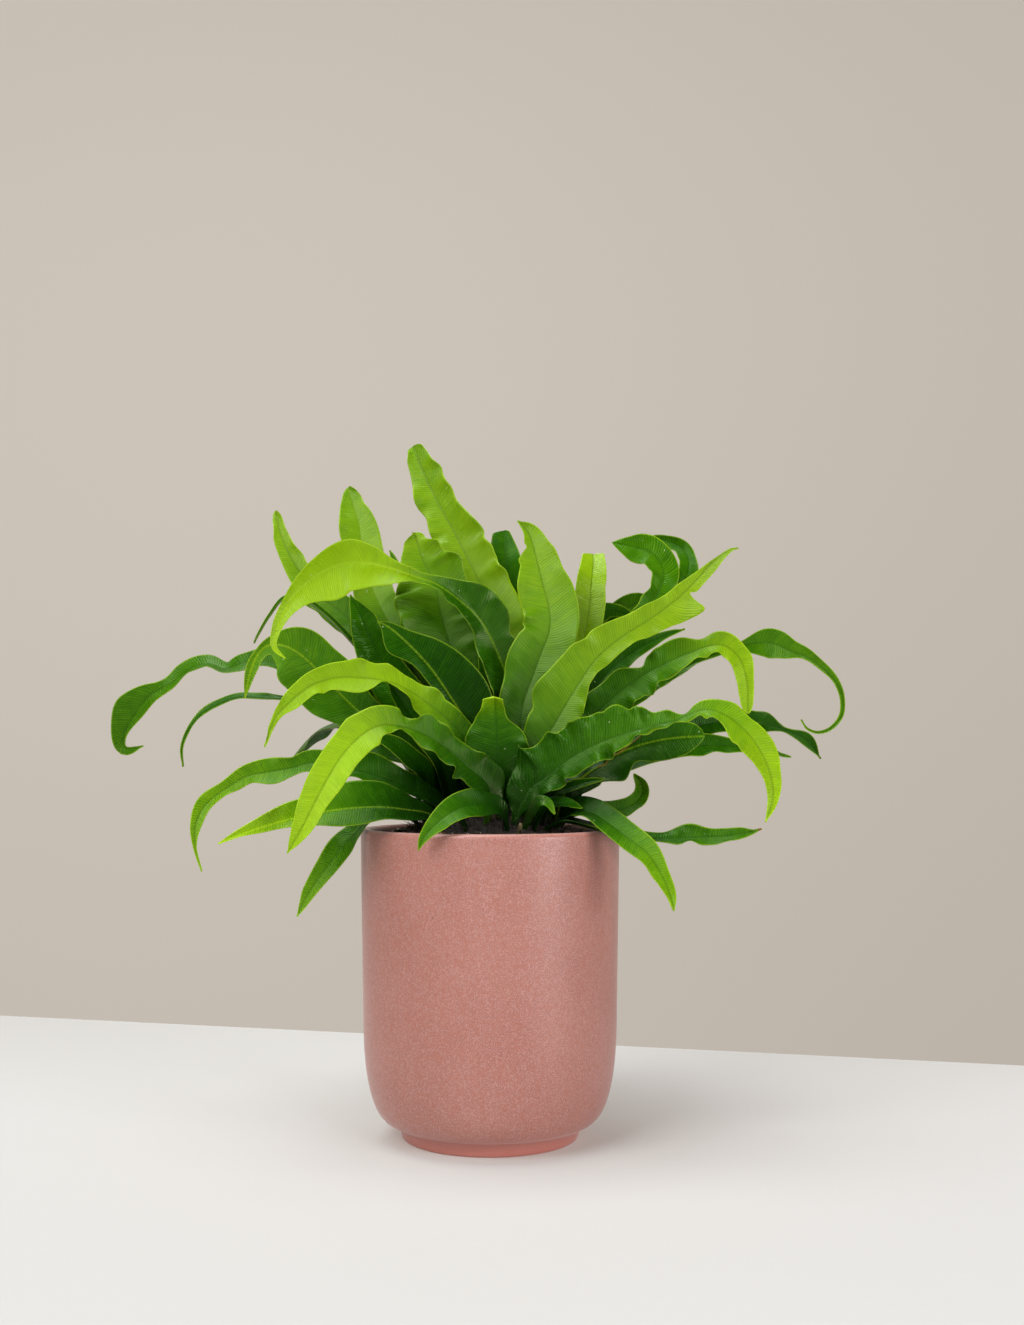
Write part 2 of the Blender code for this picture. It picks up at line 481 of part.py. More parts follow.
def make_soil(finish, parent):
    """Potting mix that fills the pot, with a shallow dish in its top for the crown."""
    inside = [point for point in belly(WALL + FIT_GAP) if point[1] > FLOOR_THICKNESS + WALL]
    floor = FLOOR_THICKNESS + FIT_GAP
    edge = inner_radius(SOIL_EDGE_HEIGHT) - 2 * FIT_GAP
    dish = CROWN_RADIUS + FIT_GAP
    dish_floor = CROWN_BOTTOM_HEIGHT - FIT_GAP
    top = [(edge - inwards, SOIL_EDGE_HEIGHT + share * SOIL_DOME) for inwards, share in SOIL_RINGS]
    profile = [(0, dish_floor), (dish, dish_floor), (dish, SOIL_EDGE_HEIGHT + SOIL_DOME)]
    profile += top[::-1] + [(edge, SOIL_EDGE_HEIGHT)] + inside
    profile += [(inside[-1][0] - WALL, floor), (0, floor)]
    mesh = turned("soil", profile, POT_SEGMENTS)
    crumbs = random.Random(SOIL_SEED)
    for vertex in mesh.vertices:
        radius = math.hypot(vertex.co.x, vertex.co.y) / MM
        if vertex.co.z > SOIL_EDGE_HEIGHT * MM and dish + 1 < radius < edge - 1:
            vertex.co.z += crumbs.uniform(-1, 1) * SOIL_CRUMB * MM
    smooth_shading(mesh, 50)
    return add_object("soil", mesh, finish, parent)


def crown_height(x, y):
    """The height of the crown's domed top over a point, in mm."""
    out = min(1.0, math.hypot(x, y) / CROWN_RADIUS)
    return CROWN_TOP_HEIGHT - (CROWN_TOP_HEIGHT - CROWN_EDGE_HEIGHT) * out**2


def make_crown(finish, parent):
    dome = [(share * CROWN_RADIUS, crown_height(share * CROWN_RADIUS, 0)) for share in CROWN_RINGS]
    profile = [(0, CROWN_BOTTOM_HEIGHT), (CROWN_RADIUS, CROWN_BOTTOM_HEIGHT)] + dome + [(0, CROWN_TOP_HEIGHT)]
    mesh = turned("crown", profile, CROWN_SEGMENTS)
    smooth_shading(mesh, 50)
    return add_object("crown", mesh, finish, parent)


def sight_point(across, height, depth):
    near = 1 + depth / EYE_DISTANCE
    return np.array([across * near, depth, EYE_HEIGHT + (height - EYE_HEIGHT) * near])


def smooth_values(values, places):
    """A Catmull-Rom curve through evenly spaced values, read at places from 0 to 1."""
    knots = np.asarray(values, float)
    last = len(knots) - 1
    if last == 0:
        return np.repeat(knots, len(places), axis=0)
    padded = np.concatenate([2 * knots[:1] - knots[1:2], knots, 2 * knots[-1:] - knots[-2:-1]])
    spot = np.clip(np.asarray(places, float) * last, 0, last)
    index = np.minimum(spot.astype(int), last - 1)
    t = (spot - index).reshape((-1,) + (1,) * (knots.ndim - 1))
    a, b, c, d = (padded[index + k] for k in range(4))
    return 0.5 * (2 * b + (c - a) * t + (2 * a - 5 * b + 4 * c - d) * t**2 + (3 * b - a - 3 * c + d) * t**3)


def unit(vectors):
    return vectors / np.linalg.norm(vectors, axis=-1, keepdims=True)


def midrib_of(frond):
    """The frond's midrib as dense points in mm, and each point's distance along it."""
    x, y = frond["foot"]
    start = np.array([x, y, crown_height(x, y) + STALK_RISE])
    if "points" in frond:
        stations = np.array([start, *frond["points"]])
    else:
        flat = np.array(frond["path"], float)
        seen = smooth_values(frond["depth"], (np.arange(len(flat)) + 1) / len(flat))
        stations = np.array([start] + [sight_point(*spot, depth) for spot, depth in zip(flat, seen)])
    dense = smooth_values(stations, np.linspace(0, 1, CURVE_SAMPLES * (len(stations) - 1) + 1))
    run = np.concatenate([[0], np.cumsum(np.linalg.norm(np.diff(dense, axis=0), axis=1))])
    return dense, run


def blade_frames(frond, points, heading, places):
    """Unit vectors across the blade and out of its face at each point of the midrib."""
    turn = np.radians(smooth_values(frond["turn"], places))[:, None]
    if "side" in frond:
        across = np.tile(np.asarray(frond["side"], float), (len(points), 1))
        across = unit(across - (across * heading).sum(1, keepdims=True) * heading)
        facing = np.cross(across, heading)
    else:
        to_eye = unit(np.array([0, -EYE_DISTANCE, EYE_HEIGHT]) - points)
        facing = unit(to_eye - (to_eye * heading).sum(1, keepdims=True) * heading)
        across = np.cross(heading, facing)
    return (
        np.cos(turn) * across + np.sin(turn) * facing,
        np.cos(turn) * facing - np.sin(turn) * across,
    )


def margin_wave(frond, run, side):
    """The frill of one margin, between about -1 and 1."""
    phase = math.tau * run / frond["wave"] + SIDE_PHASE * side + FOOT_PHASE * frond["foot"][0]
    return (np.sin(phase) + SECOND_SHARE * np.sin(SECOND_WAVE * phase)) / (1 + 0.5 * SECOND_SHARE)


def half_widths(frond, run, side):
    """Half the blade's width at distances along it, with its lobes, its frill and its rounded tip."""
    places = run / run[-1]
    measured = frond.get("left" if side < 0 else "right")
    if measured:
        facing = np.cos(np.radians(smooth_values(frond["turn"], places)))
        half = smooth_values(measured, places) / np.maximum(facing, LEAST_FACING)
    else:
        half = 0.5 * smooth_values(frond["width"], places)
    for place, lobe_side, growth, span in frond.get("lobes", ()):
        if lobe_side == side:
            half = half + growth * np.exp(-(((places - place) / span) ** 2))
    frill = (MEASURED_FRILL_IN if measured else FRILL_IN) * smooth_values(frond["ruffle"], places)
    half = half + frill * margin_wave(frond, run + 0.25 * frond["wave"], side)
    tip = np.clip(1 - (run[-1] - run) / frond.get("blunt", TIP_ROUND), 0, 1)
    return np.maximum(half * np.sqrt(1 - tip**2), 0.5 * THINNEST)


def row_places(length, tip):
    """Distances along the midrib of the blade's rows, with a last short row that rounds the tip."""
    rows = max(SHORTEST_ROWS, round(length / ROW_LENGTH))
    return np.append(np.linspace(0, length - tip, rows), [length - 0.3 * tip, length])


def blade_rows(frond):
    """Rows of three points in mm, left margin, midrib and right margin, from the foot to the tip."""
    dense, dense_run = midrib_of(frond)
    run = row_places(dense_run[-1], frond.get("blunt", TIP_ROUND))
    places = run / run[-1]

    def midrib(at):
        return np.stack([np.interp(at, dense_run, dense[:, k]) for k in range(3)], axis=1)

    points = midrib(run)
    across, face = blade_frames(frond, points, unit(midrib(run + 1) - midrib(run - 1)), places)
    frill = smooth_values(frond["ruffle"], places)
    near = 1 + points[:, 1] / EYE_DISTANCE
    margins = []
    for side in (-1, 1):
        half = near * half_widths(frond, run, side)
        lift = FOLD * half + frill * margin_wave(frond, run, side)
        margins.append(points + side * half[:, None] * across + lift[:, None] * face)
    rows = np.stack([margins[0], points, margins[1]], axis=1)
    stalk = level_row(points[0], across[0])
    sunk = stalk - np.array([0, 0, SLOT_DEPTH + STALK_RISE])
    return np.concatenate([[sunk, stalk], rows[1:]]), across[0]


def level_row(middle, across):
    flat = unit(np.array([across[0], across[1], 0]))
    return middle + 0.5 * STALK_WIDTH * np.array([[-1], [0], [1]]) * flat


def make_frond(name, frond, finish, parent):
    rows, _ = blade_rows(frond)
    columns = rows.shape[1]
    vertices = rows.reshape(-1, 3) * MM
    faces = []
    for row in range(len(rows) - 1):
        for column in range(columns - 1):
            a = row * columns + column
            b, c, d = a + 1, a + columns + 1, a + columns
            split = ((a, b, c), (a, c, d)) if (row + column) % 2 else ((a, b, d), (b, c, d))
            faces.extend(split)
    mesh = bpy.data.meshes.new(name)
    mesh.from_pydata(vertices.tolist(), [], faces)
    smooth_shading(mesh, 60)
    obj = add_object(name, mesh, finish, parent)
    thicken(obj, rows, columns)
    return obj


def thicken(obj, rows, columns):
    """Gives the blade its thickness, with the stalk thicker than the rest."""
    group = obj.vertex_groups.new(name="thickness")
    centres = rows[:, columns // 2]
    run = np.concatenate([[0], np.cumsum(np.linalg.norm(np.diff(centres, axis=0), axis=1))])
    blade = BLADE_THICKNESS / STALK_THICKNESS
    for row, far in enumerate(run):
        share = blade + (1 - blade) * math.exp(-((max(0.0, far - SLOT_DEPTH) / STALK_FADE) ** 2))
        group.add([row * columns + k for k in range(columns)], share, "REPLACE")
    solid = obj.modifiers.new("thickness", "SOLIDIFY")
    solid.thickness = STALK_THICKNESS * MM
    solid.offset = 0
    solid.vertex_group = "thickness"


def back_fronds():
    """Fronds that arch away from the eye, at even headings with seeded differences."""
    draw = random.Random(BACK_SEED)
    fronds = {}
    for index in range(BACK_FRONDS):
        share = index / (BACK_FRONDS - 1)
        stand = math.radians(BACK_FEET[0] + share * (BACK_FEET[1] - BACK_FEET[0]))
        heading = math.radians(BACK_FAN[0] + share * (BACK_FAN[1] - BACK_FAN[0]) + draw.uniform(-2, 2))
        out = np.array([math.cos(heading), math.sin(heading), 0])
        size = BACK_LOW if index % 2 else BACK_TALL
        reach, rise, width = (draw.uniform(*size[key]) for key in ("reach", "rise", "width"))
        foot = BACK_FOOT_RADIUS * np.array([math.cos(stand), math.sin(stand), 0])
        base = crown_height(foot[0], foot[1])
        fronds[f"back_frond_{index + 1}"] = dict(
            foot=(foot[0], foot[1]),
            points=[foot + out * reach * u + np.array([0, 0, base + rise * v]) for u, v in BACK_ARCH],
            side=(-out[1], out[0], 0),
            width=width * np.array(BACK_SHAPE),
            turn=(0, draw.uniform(-20, 20), draw.uniform(-30, 30)),
            ruffle=(0, 1, 2, 1.5, 0.5),
            wave=draw.uniform(22, 34),
            tone=("mid", "dark")[index % 2],
        )
    return fronds


def slot_cutter(fronds, parent):
    """One hidden mesh with a box round each frond's foot."""
    bm = bmesh.new()
    for frond in fronds.values():
        rows, across = blade_rows(frond)
        bottom, middle = rows[0, 1], rows[1, 1]
        low = bottom[2] - FIT_GAP
        high = middle[2] + SLOT_CLEARANCE
        size = (STALK_WIDTH + 2 * FIT_GAP, STALK_THICKNESS + 2 * FIT_GAP, high - low)
        place = Matrix.Translation(Vector((middle[0], middle[1], (high + low) / 2)) * MM)
        place = place @ Matrix.Rotation(math.atan2(across[1], across[0]), 4, "Z")
        bmesh.ops.create_cube(bm, size=1, matrix=place @ Matrix.Diagonal((*(s * MM for s in size), 1)))
    mesh = bpy.data.meshes.new("slot_cutter")
    bm.to_mesh(mesh)
    bm.free()
    cutter = bpy.data.objects.new("slot_cutter", mesh)
    bpy.context.scene.collection.objects.link(cutter)
    cutter.parent = parent
    cutter.hide_render = True
    cutter.display_type = "WIRE"
    return cutter


def main():
    clear_scene()
    finishes = {name: material(name, *look) for name, look in COLOURS.items()}
    plant = bpy.data.objects.new("potted_fern", None)
    bpy.context.scene.collection.objects.link(plant)
    make_pot(finishes["pot"], plant)
    make_soil(finishes["soil"], plant)
    crown = make_crown(finishes["crown"], plant)
    fronds = {**FRONDS, **back_fronds()}
    slots = crown.modifiers.new("slots", "BOOLEAN")
    slots.object = slot_cutter(fronds, plant)
    for name, frond in fronds.items():
        make_frond(name, frond, finishes[frond["tone"]], plant)


main()
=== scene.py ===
import math
import random

import bmesh
import bpy
import numpy as np
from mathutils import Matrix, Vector, noise


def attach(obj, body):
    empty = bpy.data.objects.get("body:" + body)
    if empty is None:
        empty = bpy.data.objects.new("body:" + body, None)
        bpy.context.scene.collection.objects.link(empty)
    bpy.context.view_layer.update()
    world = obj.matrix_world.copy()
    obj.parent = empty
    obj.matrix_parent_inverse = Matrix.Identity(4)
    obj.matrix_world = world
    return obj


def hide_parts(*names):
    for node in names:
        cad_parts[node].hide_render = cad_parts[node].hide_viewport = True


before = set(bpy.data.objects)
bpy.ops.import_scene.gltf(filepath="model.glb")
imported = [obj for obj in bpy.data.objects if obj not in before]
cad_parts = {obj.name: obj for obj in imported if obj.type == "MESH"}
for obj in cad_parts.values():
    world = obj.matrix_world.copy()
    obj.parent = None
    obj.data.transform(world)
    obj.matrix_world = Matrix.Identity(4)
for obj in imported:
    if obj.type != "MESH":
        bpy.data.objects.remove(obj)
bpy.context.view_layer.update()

# Bird's nest fern in a matte pink pot. Shapes are worked out in millimetres; +Z is up, the fern is seen from -Y.
mm = 0.001
print("frame:", len(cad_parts), "nodes")


def linear(red, green, blue):
    # a screen colour from 0 to 255, as the linear values that shaders take
    return tuple((v / 255 / 12.92 if v < 10 else ((v / 255 + 0.055) / 1.055) ** 2.4) for v in (red, green, blue))


# Camera, stage and light

view = dict(distance=772, height=193, lens=41.3, shift=(0.0166, 0.0698))
stage = dict(
    tableEdge=((-364, 356), (332, 174)),  # two points of the table's back edge, seen from above
    tableDepth=1500, tableReach=1500, tableThick=40, tableColour=(0.495, 0.51, 0.522),
    tableGlow=((0.1, 0.075, 0.05), (0.235, 0.21, 0.19)),
    wallBehind=1400, wallColour=(0.20, 0.185, 0.165), wallSpan=(-750, 750), wallRise=(-100, 1250),
    # painted light: the wall glows by itself, dimmer at the lower right and brighter at the upper left
    wallGlow=(linear(173, 165, 155), linear(186, 178, 168)),
    air=(0.50, 0.48, 0.45), airStrength=0.13)
lamps = {  # place and aim in mm, side of the square in mm, power in watts
    "keySoftbox": dict(place=(-850, -1000, 1050), aim=(0, 0, 150), side=900, power=18.8, colour=(1, 0.985, 0.96)),
    "fillSoftbox": dict(place=(940, -700, 330), aim=(0, 0, 110), side=420, power=6.4, colour=(1, 0.97, 0.97)),
    "shineSoftbox": dict(place=(420, -900, 620), aim=(0, 0, 110), side=160, power=1.6, colour=(1, 0.97, 1)),
    "lowSoftbox": dict(place=(-150, -1500, 60), aim=(0, 0, 60), side=500, power=2, colour=(1, 1, 1)),
    "topSoftbox": dict(place=(-250, 0, 1300), aim=(0, 0, 200), side=700, power=11.4, colour=(1, 1, 0.97)),
}


def addObject(name, data):
    made = bpy.data.objects.new(name, data)
    bpy.context.scene.collection.objects.link(made)
    return made


def aimAt(thing, place, aim):
    thing.location = Vector(place) * mm
    thing.rotation_euler = (Vector(aim) - Vector(place)).to_track_quat("-Z", "Y").to_euler()


def placeCamera():
    camera = addObject("photoCamera", bpy.data.cameras.new("photoCamera"))
    camera.data.sensor_width = 36
    camera.data.lens = view["lens"]
    camera.data.shift_x, camera.data.shift_y = view["shift"]
    camera.data.clip_start, camera.data.clip_end = 0.01, 20
    camera.data.dof.use_dof = False
    camera.location = Vector((0, -view["distance"], view["height"])) * mm
    camera.rotation_euler = (math.pi / 2, 0, 0)
    bpy.context.scene.camera = camera


def placeLamps():
    for name, lamp in lamps.items():
        light = addObject(name, bpy.data.lights.new(name, "AREA"))
        light.data.shape, light.data.size = "SQUARE", lamp["side"] * mm
        light.data.energy, light.data.color = lamp["power"], lamp["colour"]
        aimAt(light, lamp["place"], lamp["aim"])
    air = bpy.data.worlds.new("studioAir")
    bpy.context.scene.world = air
    air.use_nodes = True
    sky = air.node_tree.nodes["Background"]
    sky.inputs["Color"].default_value = (*stage["air"], 1)
    sky.inputs["Strength"].default_value = stage["airStrength"]
    bpy.context.scene.view_settings.view_transform = "Standard"


# Shader writing

class Wire:
    # a socket that stands in Python expressions: arithmetic on it adds Math nodes
    def __init__(self, finish, socket):
        self.finish, self.socket = finish, socket

    def __getitem__(self, name):
        return Wire(self.finish, self.socket.node.outputs[name])

    def maths(self, operation, *values):
        return self.finish.node("Math", {"operation": operation}, dict(enumerate(values)))

    def __add__(self, other):
        return self.maths("ADD", self, other)

    def __sub__(self, other):
        return self.maths("SUBTRACT", self, other)

    def __rsub__(self, other):
        return self.maths("SUBTRACT", other, self)

    def __mul__(self, other):
        return self.maths("MULTIPLY", self, other)

    def __pow__(self, other):
        return self.maths("POWER", self, other)

    def __lt__(self, other):
        return self.maths("LESS_THAN", self, other)

    def __gt__(self, other):
        return self.maths("GREATER_THAN", self, other)

    def __abs__(self):
        return self.maths("ABSOLUTE", self)

    def sine(self):
        return self.maths("SINE", self)

    __radd__, __rmul__ = __add__, __mul__


class Finish:
    # a material that is written node by node
    def __init__(self, name):
        self.material = bpy.data.materials.new(name)
        self.material.use_nodes = True
        self.tree = self.material.node_tree
        self.tree.nodes.clear()

    def node(self, kind, settings, sockets):
        made = self.tree.nodes.new("ShaderNode" + kind)
        for name, value in settings.items():
            if name == "stops":
                self.setStops(made.color_ramp.elements, value)
            else:
                setattr(made, name, value)
        for name, value in sockets.items():
            named = isinstance(name, str)
            socket = next(s for s in made.inputs if s.enabled and s.name == name) if named else made.inputs[name]
            if isinstance(value, Wire):
                self.tree.links.new(value.socket, socket)
            elif socket.type == "RGBA":
                socket.default_value = (*value, 1)
            else:
                socket.default_value = value
        return Wire(self, next((s for s in made.outputs if s.enabled), None))

    def setStops(self, elements, stops):
        elements.remove(elements[1])
        elements[0].position, elements[0].color = stops[0][0], (*stops[0][1], 1)
        for spot, colour in stops[1:]:
            elements.new(spot).color = (*colour, 1)

    def place(self):
        return self.node("TexCoord", {}, {})["Object"]

    def value(self, name):
        return self.node("Attribute", {"attribute_name": name}, {})["Fac"]

    def noise(self, where, scale, detail=2.0):
        return self.node("TexNoise", {}, {"Vector": where, "Scale": scale, "Detail": detail})

    def cells(self, where, scale):
        return self.node("TexVoronoi", {}, {"Vector": where, "Scale": scale})

    def ramp(self, factor, stops):
        return self.node("ValToRGB", {"stops": stops}, {"Fac": factor})

    def rise(self, value, low, high):
        # 0 below low, 1 above high, smooth between them
        ends = {"Value": value, "From Min": low, "From Max": high}
        return self.node("MapRange", {"interpolation_type": "SMOOTHSTEP"}, ends)

    def mix(self, share, first, second, kind="MIX"):
        colours = {"Factor": share, "A": first, "B": second}
        return self.node("Mix", {"data_type": "RGBA", "blend_type": kind}, colours)

    def bump(self, height, depth, strength=1.0):
        # depth in mm is how far a height of 1 stands up
        return self.node("Bump", {}, {"Height": height, "Distance": depth * mm, "Strength": strength})

    def surface(self, sockets, glow=None):
        # glow: the colour of the light that comes through, and its share
        shader = self.node("BsdfPrincipled", {}, sockets)
        if glow:
            through = self.node("BsdfTranslucent", {}, {"Color": glow[0], "Normal": sockets["Normal"]})
            shader = self.node("MixShader", {}, {0: glow[1], 1: shader, 2: through})
        self.node("OutputMaterial", {}, {"Surface": shader})
        return self.material


# Stage

def stageFinish(name, colour, grain, glow):
    # glow: painted light, a dim glow that the surface gives off, as two colours, the two points in mm that they belong
    # to, the second direction that it changes in, and how much of the change that direction has
    paint = Finish(name)
    where = paint.place()
    (low, high), (start, end), second, share = glow
    spot = paint.node("SeparateXYZ", {}, {"Vector": where})
    across = paint.rise(spot["X"], start[0] * mm, end[0] * mm)
    other = paint.rise(spot[second], start[1] * mm, end[1] * mm)
    # painted light: the glow colour, graded across the surface
    paintedLight = paint.mix(across * (1 - share) + other * share, low, high)
    soft = paint.noise(where, 3, 2)
    fine = paint.noise(where, grain, 3)
    shade = paint.mix(soft * 0.5 + fine * 0.5, [0.97 * c for c in colour], [min(1, 1.02 * c) for c in colour])
    return paint.surface({"Base Color": shade, "Roughness": 0.85, "Specular IOR Level": 0.2,
                          "Emission Color": paintedLight, "Emission Strength": 1, "Normal": paint.bump(fine, 0.05, 0.3)})


def makeStage():
    (x0, y0), (x1, y1) = stage["tableEdge"]
    along = Vector((x1 - x0, y1 - y0, 0)).normalized()
    inward = Vector((along.y, -along.x, 0))
    back = Vector((x0, y0, 0))
    reach, depth = stage["tableReach"] * along, stage["tableDepth"] * inward
    corners = [back - reach, back + 2 * reach, back + 2 * reach + depth, back - reach + depth]
    bm = bmesh.new()
    top = bm.faces.new([bm.verts.new(c * mm) for c in corners])
    down = bmesh.ops.extrude_face_region(bm, geom=[top])["geom"]
    for vertex in down:
        if isinstance(vertex, bmesh.types.BMVert):
            vertex.co.z -= stage["tableThick"] * mm
    bmesh.ops.bevel(bm, geom=bm.edges[:], offset=1.5 * mm, segments=3, affect="EDGES")
    bmesh.ops.recalc_face_normals(bm, faces=bm.faces)
    table = addObject("studio_table", bpy.data.meshes.new("studio_table"))
    bm.to_mesh(table.data)
    bm.free()
    # painted light: the table glows, brighter toward the back right, which lifts its shadows
    tableGlow = stage["tableGlow"], ((-400, -350), (400, 250)), "Y", 0.75
    table.data.materials.append(stageFinish("tableTop", stage["tableColour"], 260, tableGlow))
    wide, tall, y = 4000, 2600, stage["wallBehind"]
    flat = [(-wide, y, -900), (wide, y, -900), (wide, y, tall), (-wide, y, tall)]
    wall = addObject("studio_wall", bpy.data.meshes.new("studio_wall"))
    wall.data.from_pydata([Vector(p) * mm for p in flat], [], [(0, 1, 2, 3)])
    (left, right), (low, high) = stage["wallSpan"], stage["wallRise"]
    # painted light: the wall's glow
    wallGlow = stage["wallGlow"], ((right, low), (left, high)), "Z", 0.4
    wall.data.materials.append(stageFinish("wallPaint", stage["wallColour"], 300, wallGlow))


placeCamera()
placeLamps()
makeStage()
print("camera, light and stage made")


# Mesh making

def addPiece(name, vertices, faces, finish, slot, nodes=(), values=None):
    # vertices in mm; values: one number for each vertex, by the name that the finish reads
    mesh = bpy.data.meshes.new(name)
    mesh.from_pydata((np.asarray(vertices) * mm).tolist(), [], faces)
    for label, numbers in (values or {}).items():
        layer = mesh.attributes.new(label, "FLOAT", "POINT")
        layer.data.foreach_set("value", np.asarray(numbers, np.float32).ravel())
    mesh.materials.append(finish)
    mesh.shade_smooth()
    mesh.update()
    piece = addObject(name, mesh)
    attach(piece, "root")
    if nodes:
        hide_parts(*nodes)
    return piece


def turned(profile, segments):
    # vertices and faces of a solid of revolution; the profile starts and ends on the axis
    angles = np.arange(segments) * math.tau / segments
    vertices, rings = [], []
    for radius, height in profile:
        if radius < 1e-6:
            rings.append([len(vertices)])
            vertices.append((0, 0, height))
        else:
            rings.append(range(len(vertices), len(vertices) + segments))
            vertices.extend((radius * math.cos(a), radius * math.sin(a), height) for a in angles)
    faces = []
    for low, high in zip(rings, rings[1:]):
        for k in range(segments):
            n = (k + 1) % segments
            corners = [low[k % len(low)], low[n % len(low)], high[n % len(high)], high[k % len(high)]]
            faces.append(tuple(dict.fromkeys(corners)))
    return np.array(vertices, float), faces


def joined(parts):
    # several (vertices, faces) as one
    vertices, faces, count = [], [], 0
    for points, corners in parts:
        vertices.append(points)
        faces.extend(tuple(i + count for i in face) for face in corners)
        count += len(points)
    return np.concatenate(vertices), faces


def strand(points, radii, sides=4):
    # a thin closed tube along points
    points = np.asarray(points, float)
    headings = np.gradient(points, axis=0)
    headings /= np.linalg.norm(headings, axis=1, keepdims=True) + 1e-9
    side = np.cross(headings, (0.31, 0.17, 0.93))
    side /= np.linalg.norm(side, axis=1, keepdims=True) + 1e-9
    other = np.cross(headings, side)
    angles = np.arange(sides) * math.tau / sides
    ring = np.cos(angles)[None, :, None] * side[:, None] + np.sin(angles)[None, :, None] * other[:, None]
    vertices = (points[:, None] + np.asarray(radii)[:, None, None] * ring).reshape(-1, 3)
    faces = [tuple(range(sides))[::-1], tuple(range(len(vertices) - sides, len(vertices)))]
    for row in range(len(points) - 1):
        for k in range(sides):
            a, b = row * sides + k, row * sides + (k + 1) % sides
            faces.append((a, b, b + sides, a + sides))
    return vertices, faces


# Pot

pot = dict(
    rim=(65.5, 156), waist=(64.2, 66), crease=(47.5, 8), foot=44.7, wall=5, floor=9, bellyPower=2.5,
    sweep=((50.2, 8.25), (46.2, 7.3), (44.8, 1.6)), sweepSteps=12, segments=180, bellySteps=30, lipSteps=10,
    colour=linear(163, 107, 96), pale=linear(190, 142, 134), deep=linear(146, 88, 77),
    warm=linear(166, 96, 76), speck=linear(120, 76, 68), footTone=linear(194, 118, 106))


def bellyCurve(inset, steps):
    wide, deep = pot["waist"][0] - pot["crease"][0], pot["waist"][1] - pot["crease"][1]
    angles = [0.5 * math.pi * k / steps for k in range(steps + 1)]
    power = 2 / pot["bellyPower"]
    return [(pot["crease"][0] + wide * max(0, math.cos(a)) ** power - inset,
             pot["waist"][1] - deep * math.sin(a) ** power) for a in angles]


def glazeFinish():
    glaze = Finish("dustyPinkGlaze")
    where = glaze.place()
    height = glaze.node("SeparateXYZ", {}, {"Vector": where})["Z"]
    cloud = glaze.noise(where, 26, 3)
    grain = glaze.noise(where, 1700, 2)
    dapple = glaze.noise(where, 420, 3)
    shade = glaze.mix(glaze.rise(cloud, 0.3, 0.7) * 0.5, pot["colour"], pot["deep"])
    shade = glaze.mix(glaze.rise(grain, 0.44, 0.62) * 0.62, shade, pot["pale"])
    shade = glaze.mix(glaze.rise(dapple, 0.45, 0.65) * 0.4, shade, pot["warm"])
    # the foot: partly its redder tone, partly painted light that brightens it where the belly shades it
    shade = glaze.mix((1 - glaze.rise(height, 0.003, 0.014)) * 0.7, shade, pot["footTone"])
    # painted highlight: the top of the lip is painted paler, where light falls on the rim
    lip = glaze.rise(height, (pot["rim"][1] - 1.2) * mm, pot["rim"][1] * mm)
    shade = glaze.mix(lip * 0.45, shade, pot["pale"])
    cell = glaze.cells(where, 150)
    fleck = (cell["Distance"] < 0.08) * (glaze.node("SeparateColor", {}, {0: cell["Color"]})["Red"] > 0.95)
    shade = glaze.mix(fleck * 0.6, shade, pot["speck"])
    return glaze.surface({
        "Base Color": shade, "Roughness": 0.31 + dapple * 0.12 + grain * 0.06, "Specular IOR Level": 0.65,
        "Sheen Weight": 0.3, "Sheen Roughness": 0.3, "Sheen Tint": (1, 0.92, 0.95),
        "Normal": glaze.bump(dapple * 0.4 + grain * 0.8 + cloud * 2, 0.07, 0.6)})


def makePot():
    rimOut, rimTop = pot["rim"]
    lip = pot["wall"] / 2
    turns = [math.pi * k / pot["lipSteps"] for k in range(pot["lipSteps"] + 1)]
    edge = [(rimOut - lip + lip * math.cos(a), rimTop - lip * 0.8 + lip * 0.8 * math.sin(a)) for a in turns]
    # the body sweeps into the foot in one hollow curve
    start, bend, end = pot["sweep"]
    outside = [p for p in bellyCurve(0, pot["bellySteps"]) if p[0] > start[0]]
    foot = [tuple((1 - t) ** 2 * a + 2 * t * (1 - t) * b + t * t * c for a, b, c in zip(start, bend, end))
            for t in (k / pot["sweepSteps"] for k in range(pot["sweepSteps"] + 1))]
    inside = [p for p in bellyCurve(pot["wall"], pot["bellySteps"]) if p[1] > pot["floor"] + pot["wall"]]
    foot += [(pot["foot"] - 0.3, 0.4), (pot["foot"] - 0.9, 0.06), (pot["foot"] - 2, 0), (30, 0), (0, 0)]
    waistOut, waistUp = pot["waist"]
    wallRows = [(waistOut + k / 6 * (rimOut - waistOut), waistUp + k / 6 * (rimTop - 3 - waistUp))
                for k in range(6, 0, -1)]
    inner = [(inside[-1][0] - 1.5, pot["floor"] + 1.2), (inside[-1][0] - 5, pot["floor"]), (0, pot["floor"])]
    innerWall = [(r - pot["wall"], z) for r, z in wallRows][::-1]
    profile = inner[::-1] + inside[::-1] + innerWall + edge[::-1] + wallRows + outside + foot
    vertices, faces = turned(profile, pot["segments"])
    addPiece("glazed_pot", vertices, [f[::-1] for f in faces], glazeFinish(), "pot", ["pot"])


makePot()
print("pot made")


# Soil

soil = dict(
    edgeHeight=150.5, dome=3.5, gap=0.6, dish=41, depth=138, rings=54, segments=230,
    lump=(5.5, 1.3), crumb=(1.9, 0.8), seed=3, chips=260, flecks=150, fibres=70,
    colour=linear(25, 18, 14), pale=linear(50, 36, 27), deep=linear(8, 6, 5),
    bark=(linear(30, 20, 13), linear(64, 44, 29)), fleckTone=linear(196, 184, 160), fibreTone=linear(120, 88, 58))


